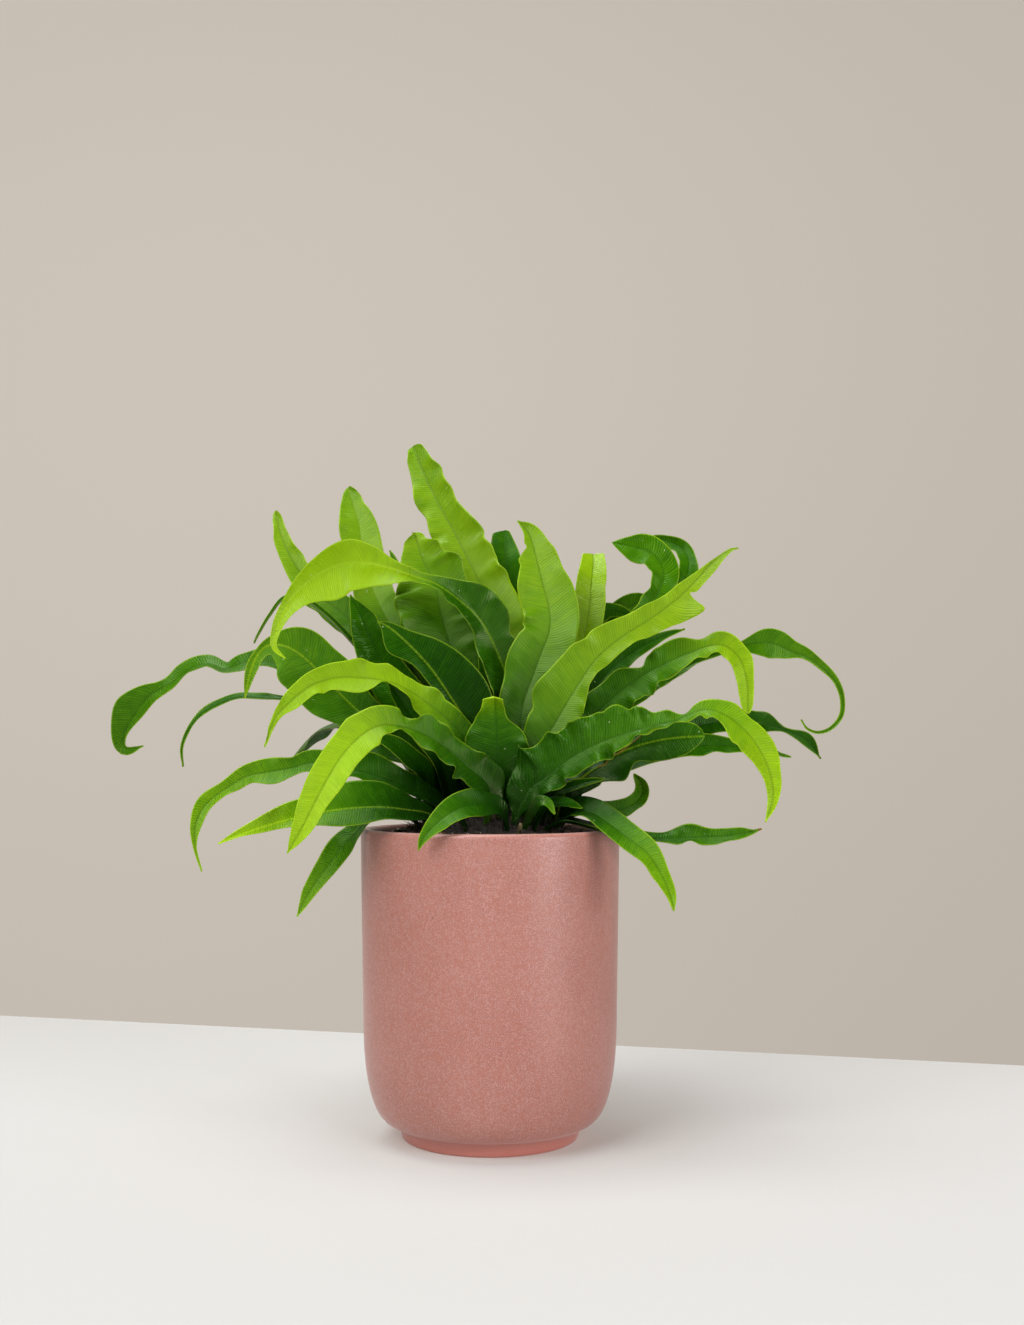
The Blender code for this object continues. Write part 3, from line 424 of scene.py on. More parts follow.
def soilRoll(x, y):
    # how far the crumbs stand above the smooth dome
    broad, tall = soil["lump"]
    fine, low = soil["crumb"]
    rise = tall * noise.noise((x / broad, y / broad, 1.7)) + low * abs(noise.noise((x / fine, y / fine, 4.1))) * 1.6
    return rise + 0.35 * noise.noise((x / 0.8, y / 0.8, 9))


def soilHeight(radius, edge):
    # the smooth top, from the dish under the crown out to the wall
    return soil["edgeHeight"] + soil["dome"] * math.sin(math.pi / 2 * min(1, max(0, (edge - radius) / 16)))


def soilFinish():
    mixture = Finish("darkPottingMix")
    where = mixture.place()
    clump = mixture.noise(where, 160, 4)
    grit = mixture.noise(where, 900, 4)
    shade = mixture.ramp(clump * 0.45 + grit * 0.55, [(0.3, soil["deep"]), (0.52, soil["colour"]), (0.72, soil["pale"])])
    return mixture.surface({"Base Color": shade, "Roughness": 0.8 + grit * 0.2, "Specular IOR Level": 0.25,
                            "Normal": mixture.bump(grit + clump, 0.5, 0.8)})


def plainGrain(name, dark, light, scale, rough):
    grain = Finish(name)
    where = grain.place()
    streak = grain.noise(where, scale, 4)
    return grain.surface({"Base Color": grain.mix(grain.rise(streak, 0.35, 0.65), dark, light),
                          "Roughness": rough + streak * 0.15, "Normal": grain.bump(streak, 0.15, 0.6)})


def lumpShape():
    # a small rounded block, as unit vertices and faces
    bm = bmesh.new()
    bmesh.ops.create_icosphere(bm, subdivisions=2, radius=1)
    points = np.array([v.co[:] for v in bm.verts])
    faces = [tuple(v.index for v in f.verts) for f in bm.faces]
    bm.free()
    return points, faces


def scattered(draw, count, sizes, flatness, edge, lift):
    # small broken lumps that lie on the soil between the crown and the wall
    base, faces = lumpShape()
    parts = []
    for _ in range(count):
        angle, out = draw.uniform(0, math.tau), math.sqrt(draw.uniform(0.4, 0.97)) * (edge - 1)
        size = draw.uniform(*sizes)
        scale = np.array([size, size * draw.uniform(0.45, 0.9), size * flatness * draw.uniform(0.6, 1.2)])
        shift = draw.uniform(0, 50)
        rough = np.array([1 + 0.35 * noise.noise((p[0] * 1.3 + shift, p[1] * 1.3, p[2] * 1.3)) for p in base])
        lump = base * rough[:, None] * scale
        spin, tip = draw.uniform(0, math.tau), draw.uniform(-0.5, 0.5)
        turnZ = np.array([[math.cos(spin), -math.sin(spin), 0], [math.sin(spin), math.cos(spin), 0], [0, 0, 1]])
        turnX = np.array([[1, 0, 0], [0, math.cos(tip), -math.sin(tip)], [0, math.sin(tip), math.cos(tip)]])
        x, y = out * math.cos(angle), out * math.sin(angle)
        up = soilHeight(out, edge) + soilRoll(x, y) + lift * scale[2]
        parts.append((lump @ (turnZ @ turnX).T + (x, y, up), faces))
    return joined(parts)


def makeSoil():
    edge = pot["waist"][0] - pot["wall"] + 1.3 * (soil["edgeHeight"] - pot["waist"][1]) / 90 - soil["gap"]
    radii = [edge * (k / soil["rings"]) ** 0.8 for k in range(soil["rings"] + 1)]
    profile = [(r, soilHeight(r, edge)) for r in radii]
    profile += [(edge, 146), (edge - 0.1, soil["depth"]), (0, soil["depth"])]
    vertices, faces = turned(profile, soil["segments"])
    for vertex in vertices:
        out = math.hypot(vertex[0], vertex[1])
        if vertex[2] > 147:
            vertex[2] += soilRoll(vertex[0], vertex[1]) * min(1, (edge - out) / 1.5 + 0.15)
    deep = [p for p in bellyCurve(pot["wall"] + 0.3, 12) if p[1] > pot["floor"] + pot["wall"]]
    body = [(0, soil["depth"] - 0.2), (edge - 0.4, soil["depth"] - 0.2)] + deep + [(deep[-1][0] - 5, 9.3), (0, 9.3)]
    filling = turned(body, 72)
    whole = joined([(vertices, [f[::-1] for f in faces]), (filling[0], [f[::-1] for f in filling[1]])])
    addPiece("potting_mix", *whole, soilFinish(), "soil", ["soil"])
    draw = random.Random(soil["seed"])
    chips = scattered(draw, soil["chips"], (0.9, 2.6), 0.4, edge, 0.25)
    addPiece("bark_chips", *chips, plainGrain("barkBrown", *soil["bark"], 700, 0.75), "soil")
    flecks = scattered(draw, soil["flecks"], (0.35, 0.85), 0.7, edge, 0.4)
    tone = soil["fleckTone"]
    addPiece("pale_flecks", *flecks, plainGrain("paleGrit", [0.7 * c for c in tone], tone, 900, 0.7), "soil")
    strands = []
    for _ in range(soil["fibres"]):
        angle, out = draw.uniform(0, math.tau), math.sqrt(draw.uniform(0.42, 0.95)) * (edge - 2)
        heading = draw.uniform(0, math.tau)
        x, y, length, bend = out * math.cos(angle), out * math.sin(angle), draw.uniform(3, 9), draw.uniform(-0.25, 0.25)
        path = []
        for step in range(8):
            far = math.hypot(x, y)
            if far < edge - 1.2:
                path.append((x, y, soilHeight(far, edge) + soilRoll(x, y) + 0.15 + 0.5 * math.sin(step * 0.45)))
            x, y = x + length / 8 * math.cos(heading), y + length / 8 * math.sin(heading)
            heading += bend
        if len(path) > 3:
            strands.append(strand(path, np.full(len(path), draw.uniform(0.1, 0.2)), 4))
    fibre = soil["fibreTone"]
    addPiece("soil_fibres", *joined(strands), plainGrain("driedFibre", [0.5 * c for c in fibre], fibre, 500, 0.7), "soil")


makeSoil()
print("soil made")


# Crown

crown = dict(
    radius=41, edgeHeight=154.5, topHeight=163, bottomHeight=147, rings=30, segments=120, seed=17,
    hairs=900, hairLength=(3, 8), hairThick=(0.1, 0.22), stubs=26,
    colour=linear(36, 25, 16), deep=linear(12, 9, 6), hair=(linear(20, 13, 8), linear(56, 38, 22)),
    stub=(linear(44, 34, 18), linear(92, 84, 40)))


def crownHeight(x, y):
    out = min(1.0, math.hypot(x, y) / crown["radius"])
    return crown["topHeight"] - (crown["topHeight"] - crown["edgeHeight"]) * out**2


def makeCrown():
    profile = [(crown["radius"] * k / crown["rings"], crownHeight(crown["radius"] * k / crown["rings"], 0))
               for k in range(crown["rings"] + 1)]
    profile += [(crown["radius"] - 0.4, 151), (crown["radius"] - 1.2, crown["bottomHeight"]), (0, crown["bottomHeight"])]
    vertices, faces = turned(profile, crown["segments"])
    for vertex in vertices:
        if vertex[2] > crown["edgeHeight"] - 0.1:
            x, y = vertex[0], vertex[1]
            vertex[2] += 0.9 * noise.noise((x / 3.1, y / 3.1, 2)) + 0.5 * noise.noise((x / 1.2, y / 1.2, 7)) - 0.2
    finish = plainGrain("crownFelt", crown["deep"], crown["colour"], 800, 0.8)
    addPiece("crown_heart", vertices, [f[::-1] for f in faces], finish, "crown", ["crown"])
    draw = random.Random(crown["seed"])
    hairs = []
    for _ in range(crown["hairs"]):
        angle, out = draw.uniform(0, math.tau), crown["radius"] * math.sqrt(draw.uniform(0, 1.05))
        x, y = out * math.cos(angle), out * math.sin(angle)
        length, lean, swirl = draw.uniform(*crown["hairLength"]), draw.uniform(0.2, 1.1), draw.uniform(-1, 1)
        path = []
        for step in range(5):
            far = step / 4
            drift = length * lean * far**1.5
            path.append((x + drift * math.cos(angle + swirl), y + drift * math.sin(angle + swirl),
                         crownHeight(x, y) - 0.4 + length * far * (1 - 0.45 * far * lean)))
        thick = draw.uniform(*crown["hairThick"])
        hairs.append(strand(path, [thick, thick, 0.8 * thick, 0.55 * thick, 0.15 * thick], 3))
    addPiece("crown_hairs", *joined(hairs), plainGrain("brownScales", *crown["hair"], 300, 0.55), "crown")
    stubs = []
    for _ in range(crown["stubs"]):
        angle, out = draw.uniform(0, math.tau), crown["radius"] * draw.uniform(0.3, 0.95)
        x, y, tall = out * math.cos(angle), out * math.sin(angle), draw.uniform(3, 7)
        lean = draw.uniform(0.1, 0.6)
        path = [(x + lean * k * math.cos(angle), y + lean * k * math.sin(angle), crownHeight(x, y) - 1 + tall * k / 4)
                for k in range(5)]
        thick = draw.uniform(0.7, 1.2)
        stubs.append(strand(path, [1.3 * thick, 1.15 * thick, thick, 0.95 * thick, 0.7 * thick], 9))
    addPiece("old_stalk_stubs", *joined(stubs), plainGrain("driedStalk", *crown["stub"], 400, 0.65), "crown")


makeCrown()
print("crown made")


# Leaf finishes

leaf = dict(
    # from near-black green to the pale yellow green of young blades; the pale end is the young blades' colour, the
    # near-black end is partly the old blades' deep green and partly painted shade at the heart
    greens=[(0.0, linear(7, 26, 2)), (0.15, linear(17, 54, 3)), (0.3, linear(34, 84, 4)),
            (0.45, linear(60, 114, 7)), (0.6, linear(94, 142, 10)), (0.75, linear(127, 166, 15)),
            (0.9, linear(152, 194, 16)), (1.0, linear(170, 210, 28))],
    # margin: the pale colour of the painted highlight along the blade edges and on pale midribs
    margin=linear(186, 212, 50), rust=linear(96, 62, 22), dust=linear(190, 200, 160),
    veinGap=1.25, veinSlant=0.42, veinShare=0.34, bumpDepth=0.16)
# the tints, and the dark tone, are partly the blades' colour and partly painted shade: darker toward the crown and on
# fronds deep in the rosette
leafTones = {  # tint: place on the greens from the foot to the tip; glow: light that comes through
    "bright": dict(tint=(0.2, 0.45, 0.68, 0.78), glow=linear(150, 192, 6), glowShare=0.24, roughness=0.33,
                   sheen=(0.85, 1, 0.5), gloss=0.34),
    "yellow": dict(tint=(0.25, 0.55, 0.85, 0.95), glow=linear(176, 214, 6), glowShare=0.3, roughness=0.42,
                   sheen=(0.9, 1, 0.55), gloss=0.24),
    "mid": dict(tint=(0.12, 0.3, 0.42, 0.5), glow=linear(96, 160, 4), glowShare=0.14, roughness=0.34,
                sheen=(0.65, 1, 0.4), gloss=0.2),
    "dark": dict(tint=(0.06, 0.16, 0.25, 0.3), glow=linear(44, 110, 4), glowShare=0.07, roughness=0.3,
                 sheen=(0.5, 0.9, 0.35), gloss=0.16),
}


def leafFinish(name, tone):
    paint = Finish(name)
    where = paint.place()
    along, across, edge = (paint.value(label) for label in ("alongMm", "acrossMm", "edgeMm"))
    side = abs(across)
    wander = paint.noise(where, 70, 2)
    mottle = paint.noise(where, 190, 4)
    lane = along - side * leaf["veinSlant"] + wander * 2.2
    vein = (lane * (math.tau / leaf["veinGap"])).sine() * 0.5 + 0.5
    streak = paint.noise(paint.node("CombineXYZ", {}, {"X": lane * 0.9, "Y": side * 0.07}), 1.0, 4)
    fine = paint.noise(where, 2600, 2)
    green = paint.value("tint") + (streak - 0.5) * 0.22 + (mottle - 0.5) * 0.16
    lighter = paint.ramp(green + 0.22, leaf["greens"])
    shade = paint.mix((vein ** 3) * leaf["veinShare"], paint.ramp(green, leaf["greens"]), lighter)
    # the midrib: on young blades a dark line, painted shade in its groove; on others a pale raised line, partly its
    # paler colour and partly painted highlight
    rib = paint.value("rib")
    ribLightAndShade = paint.mix(rib, paint.mix(0.62, shade, leaf["greens"][1][1]), paint.mix(0.3, lighter, leaf["margin"]))
    ribMask = 1 - paint.rise(side, 0.2, 0.8)
    shade = paint.mix(ribMask * paint.rise(streak, 0.2, 0.6) * 0.6, shade, ribLightAndShade)
    # painted highlight: a pale line along every margin, where the edge catches the light
    thin = 1 - paint.rise(edge, 0.1, 0.75)
    shade = paint.mix(thin * 0.7, shade, paint.mix(0.35, lighter, leaf["margin"]))
    under = paint.value("under")
    shade = paint.mix(under * 0.3, shade, lighter)
    scorch = paint.rise(paint.value("scorch") + (mottle - 0.5) * 0.6, 0.35, 0.65)
    shade = paint.mix(scorch, shade, paint.mix(fine, leaf["rust"], linear(150, 116, 48)))
    cell = paint.cells(where, 260)
    speck = (cell["Distance"] < 0.09) * (paint.node("SeparateColor", {}, {0: cell["Color"]})["Red"] > 0.9)
    shade = paint.mix(speck * 0.6 * (1 - under), shade, leaf["dust"])
    dust = paint.value("dust") * paint.rise(paint.noise(where, 900, 4), 0.55, 0.75)
    shade = paint.mix(dust * 0.3, shade, leaf["dust"])
    height = (vein ** 2) * 0.4 + streak * 0.6 + fine * 0.12 + mottle * 0.4
    rough = tone["roughness"] - (1 - paint.rise(paint.value("tint"), 0.1, 0.5)) * 0.1 + (mottle - 0.5) * 0.22 + under * 0.14 + dust * 0.25 + scorch * 0.3 - paint.value("gloss")
    return paint.surface(
        {"Base Color": shade, "Roughness": rough, "Specular IOR Level": tone["gloss"], "Specular Tint": tone["sheen"],
         "Normal": paint.bump(height, leaf["bumpDepth"], 0.9)},
        glow=(tone["glow"], tone["glowShare"]))


# Fronds

# The fern is set out as it looks from the camera: across and height are read in the plane of the pot's axis,
# and depth (positive is away) moves a point along its own line of sight.
blade = dict(
    rowMm=1.25, lamina=0.6, marginThick=0.3, stalkThick=2.1, stalkWide=3.6, stalkFade=16, stalkRise=1, sunk=5.5,
    levelOver=8, fold=0.26, tipRound=6, thinnest=1, curveSamples=12,
    secondWave=1.73, secondShare=0.4, waveDrift=1.1, waveUneven=0.7, sidePhase=0.85, footPhase=7, frillIn=0.7, measuredFrillIn=0.45, leastFacing=0.6,
    fill=0.75, fillRise=0.24, heartShade=0.17, heartReach=34,
    frillLift=2.3, foldLift=1.25, pucker=0.07, puckerGap=2.6, crease=0.22, ridge=0.75,
    columns=(0.05, 0.11, 0.2, 0.32, 0.45, 0.58, 0.7, 0.81, 0.91, 1.0))
# Each frond, in mm and degrees. foot: its place in the crown. path: (across, height) from the foot to the tip.
# depth, width, left, right, turn, ruffle and tint: values spread evenly from foot to tip. left and right: how far
# each margin looks to be from the midrib, for a frond that climbs. turn: 0 shows the blade's face to the camera,
# 90 its edge. ruffle: height of the margins' waves, of length wave. lobes: (place along, side, growth, span),
# side 1 on the right; lobeLean carries them on toward the tip. blunt: length over which the tip rounds off.
# rib 1 gives a pale midrib line, partly painted highlight, 0 a dark one, painted shade in its groove. scorch: (start,
# end) of a dry brown part.
fronds = {
    "tall_spear": dict(
        foot=(5, 17), tone="bright", wave=19,
        path=[(9, 200), (8, 235), (2, 265), (-6, 282), (-16, 302), (-27, 322), (-34, 337), (-39, 350)],
        depth=(17, 24, 34, 44, 52), turn=(-60, -20, -5, 5, 12),
        left=(2, 3, 4.5, 7, 10, 12, 12.5, 12.5, 9.8, 7.8, 3.5),
        right=(2, 3, 4.5, 8, 12, 14.5, 13.5, 13.5, 10, 9.3, 4), blunt=2.5,
        ruffle=(0, 1, 2, 2.4, 1.8),
        tint=(0.25, 0.5, 0.64, 0.68, 0.6)),
    "left_spear": dict(
        foot=(-19, 16.5), tone="bright", wave=24,
        path=[(-24, 195), (-40, 225), (-56, 248), (-74, 264), (-90, 277), (-101, 293), (-106.5, 306),
              (-109, 317)],
        depth=(17, 28, 42), turn=(-50, -20, -10, 10),
        width=(5, 8, 13, 16, 18, 16, 11, 3.5), ruffle=(0, 0.5, 1, 1),
        tint=(0.12, 0.2, 0.26, 0.36, 0.62, 0.68)),
    "left_back_blade": dict(
        foot=(-10, 24), tone="bright", wave=24,
        path=[(-20, 205), (-30, 230), (-43, 247), (-52, 262), (-58.5, 275), (-63, 288), (-65.5, 302),
              (-67, 312), (-69.5, 320), (-72, 329)],
        depth=(24, 34, 46, 56), turn=(-50, -15, 0, 0),
        left=(2, 3.2, 5, 8, 9, 9.5, 10, 10, 10, 10, 8.8, 2.5),
        right=(2, 3.5, 5.5, 8, 9, 9.5, 10, 10, 10, 10.6, 7.5, 2.5), blunt=4,
        ruffle=(0, 0.5, 1.2, 1.2),
        tint=(0.12, 0.2, 0.28, 0.36, 0.48, 0.7, 0.7, 0.64), rib=0.3),
    "arch_left": dict(
        foot=(5, 2), tone="bright", wave=22,
        path=[(11, 200), (10, 225), (5, 242), (-4, 260), (-15, 271), (-27, 279.5), (-38, 283.5),
              (-50, 287.5), (-62, 290.5), (-75, 290), (-87, 285), (-97, 277), (-104, 267), (-108.5, 256),
              (-109.5, 248), (-104, 242)],
        depth=(2, 2, -3, -10, -16, -19, -20), turn=(-70, -45, -25, -15, -15, -40, -30, 0, 10, 0, 0),
        left=(2, 3, 4, 5, 6, 6, 7, 5, 3, 11, 13.5, 14.5, 7, 2.4, 0.6),
        right=(2, 3, 4, 5, 6, 9, 13, 6, 2.5, 5, 12, 8.5, 4.1, 2.8, 0.6),
        ruffle=(0, 2, 3, 2.5, 1, 0.6, 0.4, 0),
        tint=(0.1, 0.2, 0.25, 0.28, 0.32, 0.8, 0.9, 0.9, 0.88), rib=1, fold=0.5),
    "crinkled_top": dict(
        foot=(-4, 11), tone="bright", wave=15,
        path=[(-6, 195), (-12, 225), (-20, 248), (-25, 265), (-28, 280), (-34, 292), (-38.5, 306)],
        depth=(11, 14, 18), turn=(-60, -20, -5, 10),
        left=(2, 3, 4, 5, 6.5, 8, 9.5, 11, 13, 16, 19, 21, 22, 20, 14, 9.5, 1),
        right=(2, 3, 4, 5, 6.5, 8, 9.5, 11, 12, 13, 14, 15, 16, 17, 15, 8, 2.5),
        ruffle=(0, 1, 2, 4, 5),
        blunt=2.5, lobes=[(0.945, 1, 4, 0.015)],
        tint=(0.12, 0.22, 0.34, 0.5, 0.74)),
    "back_centre": dict(
        foot=(7, 26), tone="dark", wave=30,
        path=[(9, 205), (10, 245), (9, 272), (8, 293), (7, 307)],
        depth=(26, 38, 52), turn=(-40, 0, 10),
        left=(2.5, 5, 7.5, 9, 10, 10, 9.5, 5.5), right=(2.5, 5, 7.5, 9, 9, 9, 9, 2.5), blunt=2, ruffle=(0, 1, 1)),
    "centre_spear": dict(
        foot=(13, -7), tone="bright", wave=21,
        path=[(15, 195), (16.5, 217), (21, 231), (26, 245), (30, 256), (30, 267), (26.5, 281), (23, 295),
              (20, 305), (14, 312)],
        depth=(-7, -6, -3, 2, 8), turn=(-20, 5, 5, 0, -10),
        left=(2, 3, 5, 8.5, 13.5, 15, 13, 13.1, 12, 4.7, 0.5),
        right=(2, 3, 5, 7, 10, 12.5, 15.2, 15, 12, 8.2, 0.5),
        ruffle=(0, 2, 3, 2, 1.5, 1), lobes=[(0.86, -1, 1.5, 0.012), (0.895, -1, -1.8, 0.01)],
        tint=(0.1, 0.22, 0.42, 0.58, 0.7, 0.68)),
    "curled_upright": dict(
        foot=(21, 9), tone="bright", wave=24,
        path=[(36, 200), (43, 230), (47.5, 252), (50.5, 268), (51.5, 281), (52.5, 289), (52.5, 295)],
        depth=(9, 13, 17, 21, 30), turn=(20, 0, 0),
        left=(2, 4.5, 7, 8.5, 8, 8.5, 8, 5.4), right=(2, 4.5, 7, 8.5, 8.5, 8, 7.5, 5.4),
        ruffle=(0, 0.5, 1, 0.5), blunt=1.5,
        tint=(0.25, 0.5, 0.62, 0.68, 0.78), gloss=0.1),
    "right_diagonal": dict(
        foot=(18, -13), tone="bright", wave=20,
        path=[(23, 190), (33, 209), (43, 226), (54, 242), (67, 253), (81, 262), (94, 271.5), (105, 282),
              (113, 291), (121, 297), (126, 298)],
        depth=(-17, -16, -17, -20, -25), turn=(20, 10, 0, 0, 10),
        left=(2, 3, 6, 10, 17, 16, 12.8, 10.4, 7.3, 6, 4.4, 1, 0.5),
        right=(2, 3, 4, 4, 3.5, 4.5, 6, 5.8, 7.7, 10, 4.5, 4, 0.5),
        ruffle=(0, 2, 2, 2, 1.8, 1, 0),
        lobes=[(0.778, 1, 5, 0.02), (0.812, 1, -3.5, 0.012)], lobeLean=1.3,
        tint=(0.18, 0.42, 0.62, 0.74, 0.78, 0.72)),
    "under_diagonal": dict(
        foot=(27, 1), tone="dark", wave=24,
        path=[(33, 195), (47, 217), (60, 235), (74, 246), (87, 253), (99, 257)],
        depth=(1, 7, 13), turn=(30, 10, 10),
        width=(4, 8, 11, 12, 11, 7, 1), ruffle=(0, 0.5, 0.5)),
    "back_hump_1": dict(
        foot=(15, 20), tone="dark", wave=24,
        path=[(28, 205), (40, 235), (49, 256), (58, 266), (68, 265), (76, 259)],
        depth=(20, 25, 29), turn=(30, 10, 10),
        width=(4, 9, 14, 16, 14, 9, 2), ruffle=(0, 1, 1)),
    "back_hump_2": dict(
        foot=(22, 22), tone="mid", wave=26,
        path=[(36, 205), (50, 235), (62, 258), (72, 269), (82, 269), (91, 262)],
        depth=(22, 32, 41), turn=(30, 10, 10),
        width=(4, 9, 14, 17, 17, 12, 3), ruffle=(0, 1, 1)),
    "hook": dict(
        foot=(29, 12), tone="dark", wave=22,
        path=[(38, 200), (55, 232), (71, 256), (82, 270), (87, 279), (88, 287), (83, 295), (74, 298.5),
              (62, 301)],
        depth=(12, 20, 28, 34), turn=(30, 10, 0, -20, -20),
        left=(2, 3, 4, 5, 6, 6, 6, 6, 6, 7, 8.5, 2),
        right=(2, 3, 4, 5, 6, 6, 6, 6, 6.5, 7, 7, 1.5),
        ruffle=(0, 0.5, 1.5, 1.5),
        tint=(0.08, 0.15, 0.2, 0.3, 0.4, 0.38), gloss=0.12),
    "hook_back": dict(
        foot=(22, 28), tone="dark", wave=22,
        path=[(42, 205), (64, 240), (86, 266), (98, 281), (101, 291), (97, 298), (88.5, 302),
              (80, 303.5)],
        depth=(28, 50, 66), turn=(30, 10, 0, -10),
        width=(4, 8, 12, 13, 13, 12, 9, 3), ruffle=(0, 0.5, 1),
        tint=(0.1, 0.2, 0.3, 0.32), gloss=0.08),
    "right_wavy": dict(
        foot=(29, -5), tone="mid", wave=17,
        path=[(38, 198), (50, 211), (62, 222), (75, 232), (90, 240), (104, 246), (117, 249),
              (126.5, 242.5), (130.5, 230), (131, 214)],
        depth=(-5, -3, -4, -8, -12), turn=(30, 15, 15, 25, 0),
        left=(2, 3, 4, 5, 7, 9, 9, 5, 9, 6, 6, 5.3, 3.2, 2.5),
        right=(2, 3, 4, 5, 6, 8, 10, 10, 7.6, 5, 5, 5.9, 5, 3),
        ruffle=(0, 1, 3, 4, 3, 1, 0),
        tint=(0.15, 0.28, 0.34, 0.45, 0.75, 0.8)),
    "far_curl": dict(
        foot=(35, 4), tone="mid", wave=28,
        path=[(43, 198), (60, 215), (80, 228), (100, 238), (118, 246), (136, 250), (144.5, 249.5),
              (152, 246), (160, 243), (168, 237.5), (175, 230.5), (179, 222), (178.5, 213), (173, 206.5),
              (166.5, 204.5), (161, 206.5), (158, 211)],
        depth=(4, 10, 14, 20, 26), turn=(30, 15, 10, 0, 0),
        left=(2, 3, 4, 5, 6, 6, 6, 5, 1.5, 7.4, 4.5, 3, 1.2, 1, 0.5),
        right=(2, 3, 3, 3, 4, 4, 3, 1.5, 2.5, 8.2, 2.2, 1, 1.5, 1, 0.5),
        ruffle=(0, 1, 2, 1, 0.5, 0),
        tint=(0.15, 0.28, 0.36, 0.46, 0.4), gloss=0.1),
    "right_main": dict(
        foot=(12, -26), tone="mid", wave=14,
        path=[(20, 175), (28, 181), (36, 188), (45, 194), (55, 199), (67, 203.5), (80, 207), (94, 210.5),
              (108.5, 216), (120, 213), (130.5, 204.5), (138.5, 193), (143, 181), (143.5, 170),
              (140, 159)],
        depth=(-26, -34, -43, -52, -60), turn=(20, 20, 10, 30, 40, 30, 10),
        left=(2, 9, 16, 16, 14.5, 10.5, 14, 8, 4, 3, 6, 5.5, 7, 5, 3, 0.5),
        right=(2, 3, 5, 5, 4, 3.5, 2.5, 2, 2, 4, 5, 10, 8.6, 5, 3, 0.5),
        ruffle=(0, 5, 7, 6, 4, 1.5, 0.6, 0.4, 0),
        tint=(0.24, 0.3, 0.36, 0.42, 0.62, 0.76, 0.8), dust=0.2),
    "right_paddle": dict(
        foot=(33, -9), tone="mid", wave=28,
        path=[(38, 173), (48, 182), (60, 191), (73, 197), (86, 200.5), (98, 202), (109, 202.5)],
        depth=(-10, -14, -18), turn=(30, 15, 10),
        left=(2, 2.5, 3, 5, 8, 9, 9, 8.5, 8, 8, 5),
        right=(2, 2.5, 2.5, 3.5, 10.5, 14.5, 8, 10.3, 11.3, 8.7, 3),
        ruffle=(0, 0.5, 1, 0.5),
        tint=(0.06, 0.14, 0.22, 0.32), rib=1),
    "torn_blade": dict(
        foot=(21, -22), tone="dark", wave=15,
        path=[(29, 177), (41, 184), (54, 191.5), (66, 199), (80, 207.5)],
        depth=(-23, -25, -29), turn=(40, 30, 20),
        width=(4, 8, 11, 12, 9, 3), ruffle=(0, 1, 1.5),
        tint=(0.1, 0.18, 0.25), scorch=[(0.6, 0.95)], scorchEdge=True),
    "back_right_tip": dict(
        foot=(30, 18), tone="dark", wave=30,
        path=[(48, 185), (66, 195), (84, 202), (102, 207), (121, 210.5), (137, 209.5), (146, 207),
              (153, 204.5), (161, 200.5), (168, 191)],
        depth=(18, 34, 50, 66), turn=(40, 20, 10, 0),
        width=(4, 7, 9, 10, 11, 11, 11, 12, 12, 11, 3, 6, 1), ruffle=(0, 1, 1)),
    "back_right_low": dict(
        foot=(35, 11), tone="dark", wave=30,
        path=[(48, 180), (66, 188), (86, 195), (106, 198), (126, 197.5), (142, 195), (153, 192)],
        depth=(11, 22, 34), turn=(40, 20, 10),
        width=(4, 7, 10, 12, 12, 9, 4, 1), ruffle=(0, 1, 1)),
    "small_curl_right": dict(
        foot=(36, -3), tone="mid", wave=18,
        path=[(43, 164), (53, 165), (63, 165), (71, 167), (76.5, 172), (77, 178), (73, 183.5)],
        depth=(-3, 0, 2), turn=(60, 30, 20, 20),
        width=(4, 7, 9, 10, 9, 8, 3), ruffle=(0, 0.5, 0.5)),
    "right_hanging": dict(
        foot=(33, -15), tone="mid", wave=26,
        path=[(42, 164.5), (51, 164), (60, 158.5), (70, 151), (80, 143), (87, 132.5), (91.5, 122),
              (93.5, 114)],
        depth=(-15, -35, -50, -60, -68), turn=(60, 50, 20, 10),
        width=(6, 15, 19, 17, 15, 12, 8, 2), ruffle=(0, 0.5, 0.8),
        tint=(0.1, 0.25, 0.5, 0.62)),
    "right_low": dict(
        foot=(28, -25), tone="mid", wave=24,
        path=[(38, 159.5), (49, 157.5), (58, 155), (67, 152.5), (80, 151), (95, 151), (110, 151.5),
              (125, 152.5), (138, 155.5)],
        depth=(-27, -39, -38, -42), turn=(80, 75, 40, 10),
        width=(3.6, 5, 7, 9, 10, 10, 8, 1), ruffle=(0, 0, 1.5, 2, 1),
        tint=(0.12, 0.2, 0.32, 0.4), scorch=[(0.985, 1)]),
    "right_dark_upper": dict(
        foot=(26, -15), tone="dark", wave=20,
        path=[(31, 172), (39, 176), (48, 179), (58, 181)],
        depth=(-15, -18, -22), turn=(50, 40, 20),
        width=(4, 6, 7, 5, 1.5), ruffle=(0, 0.5, 0.5)),
    "right_dark_low": dict(
        foot=(22, -28), tone="dark", wave=20,
        path=[(27, 166), (33, 168.5), (40, 168.5), (47, 166)],
        depth=(-29, -31, -33), turn=(60, 50, 50),
        width=(4, 7, 8, 7, 2), ruffle=(0, 0.5, 0.5)),
    "small_front": dict(
        foot=(5, -19), tone="mid", wave=15,
        path=[(5, 177), (4.5, 189), (3.5, 201), (3, 211), (2.5, 218), (2.5, 222)],
        depth=(-19, -19, -21, -28), turn=(0, 0, 0),
        left=(2, 2.5, 4, 7, 11, 14.5, 16, 15, 11, 8, 6.4),
        right=(2, 2.5, 4, 8, 12, 15, 15.5, 13, 6, 4.8, 4.3),
        ruffle=(0, 0.5, 1, 1.5, 1),
        blunt=0.8,
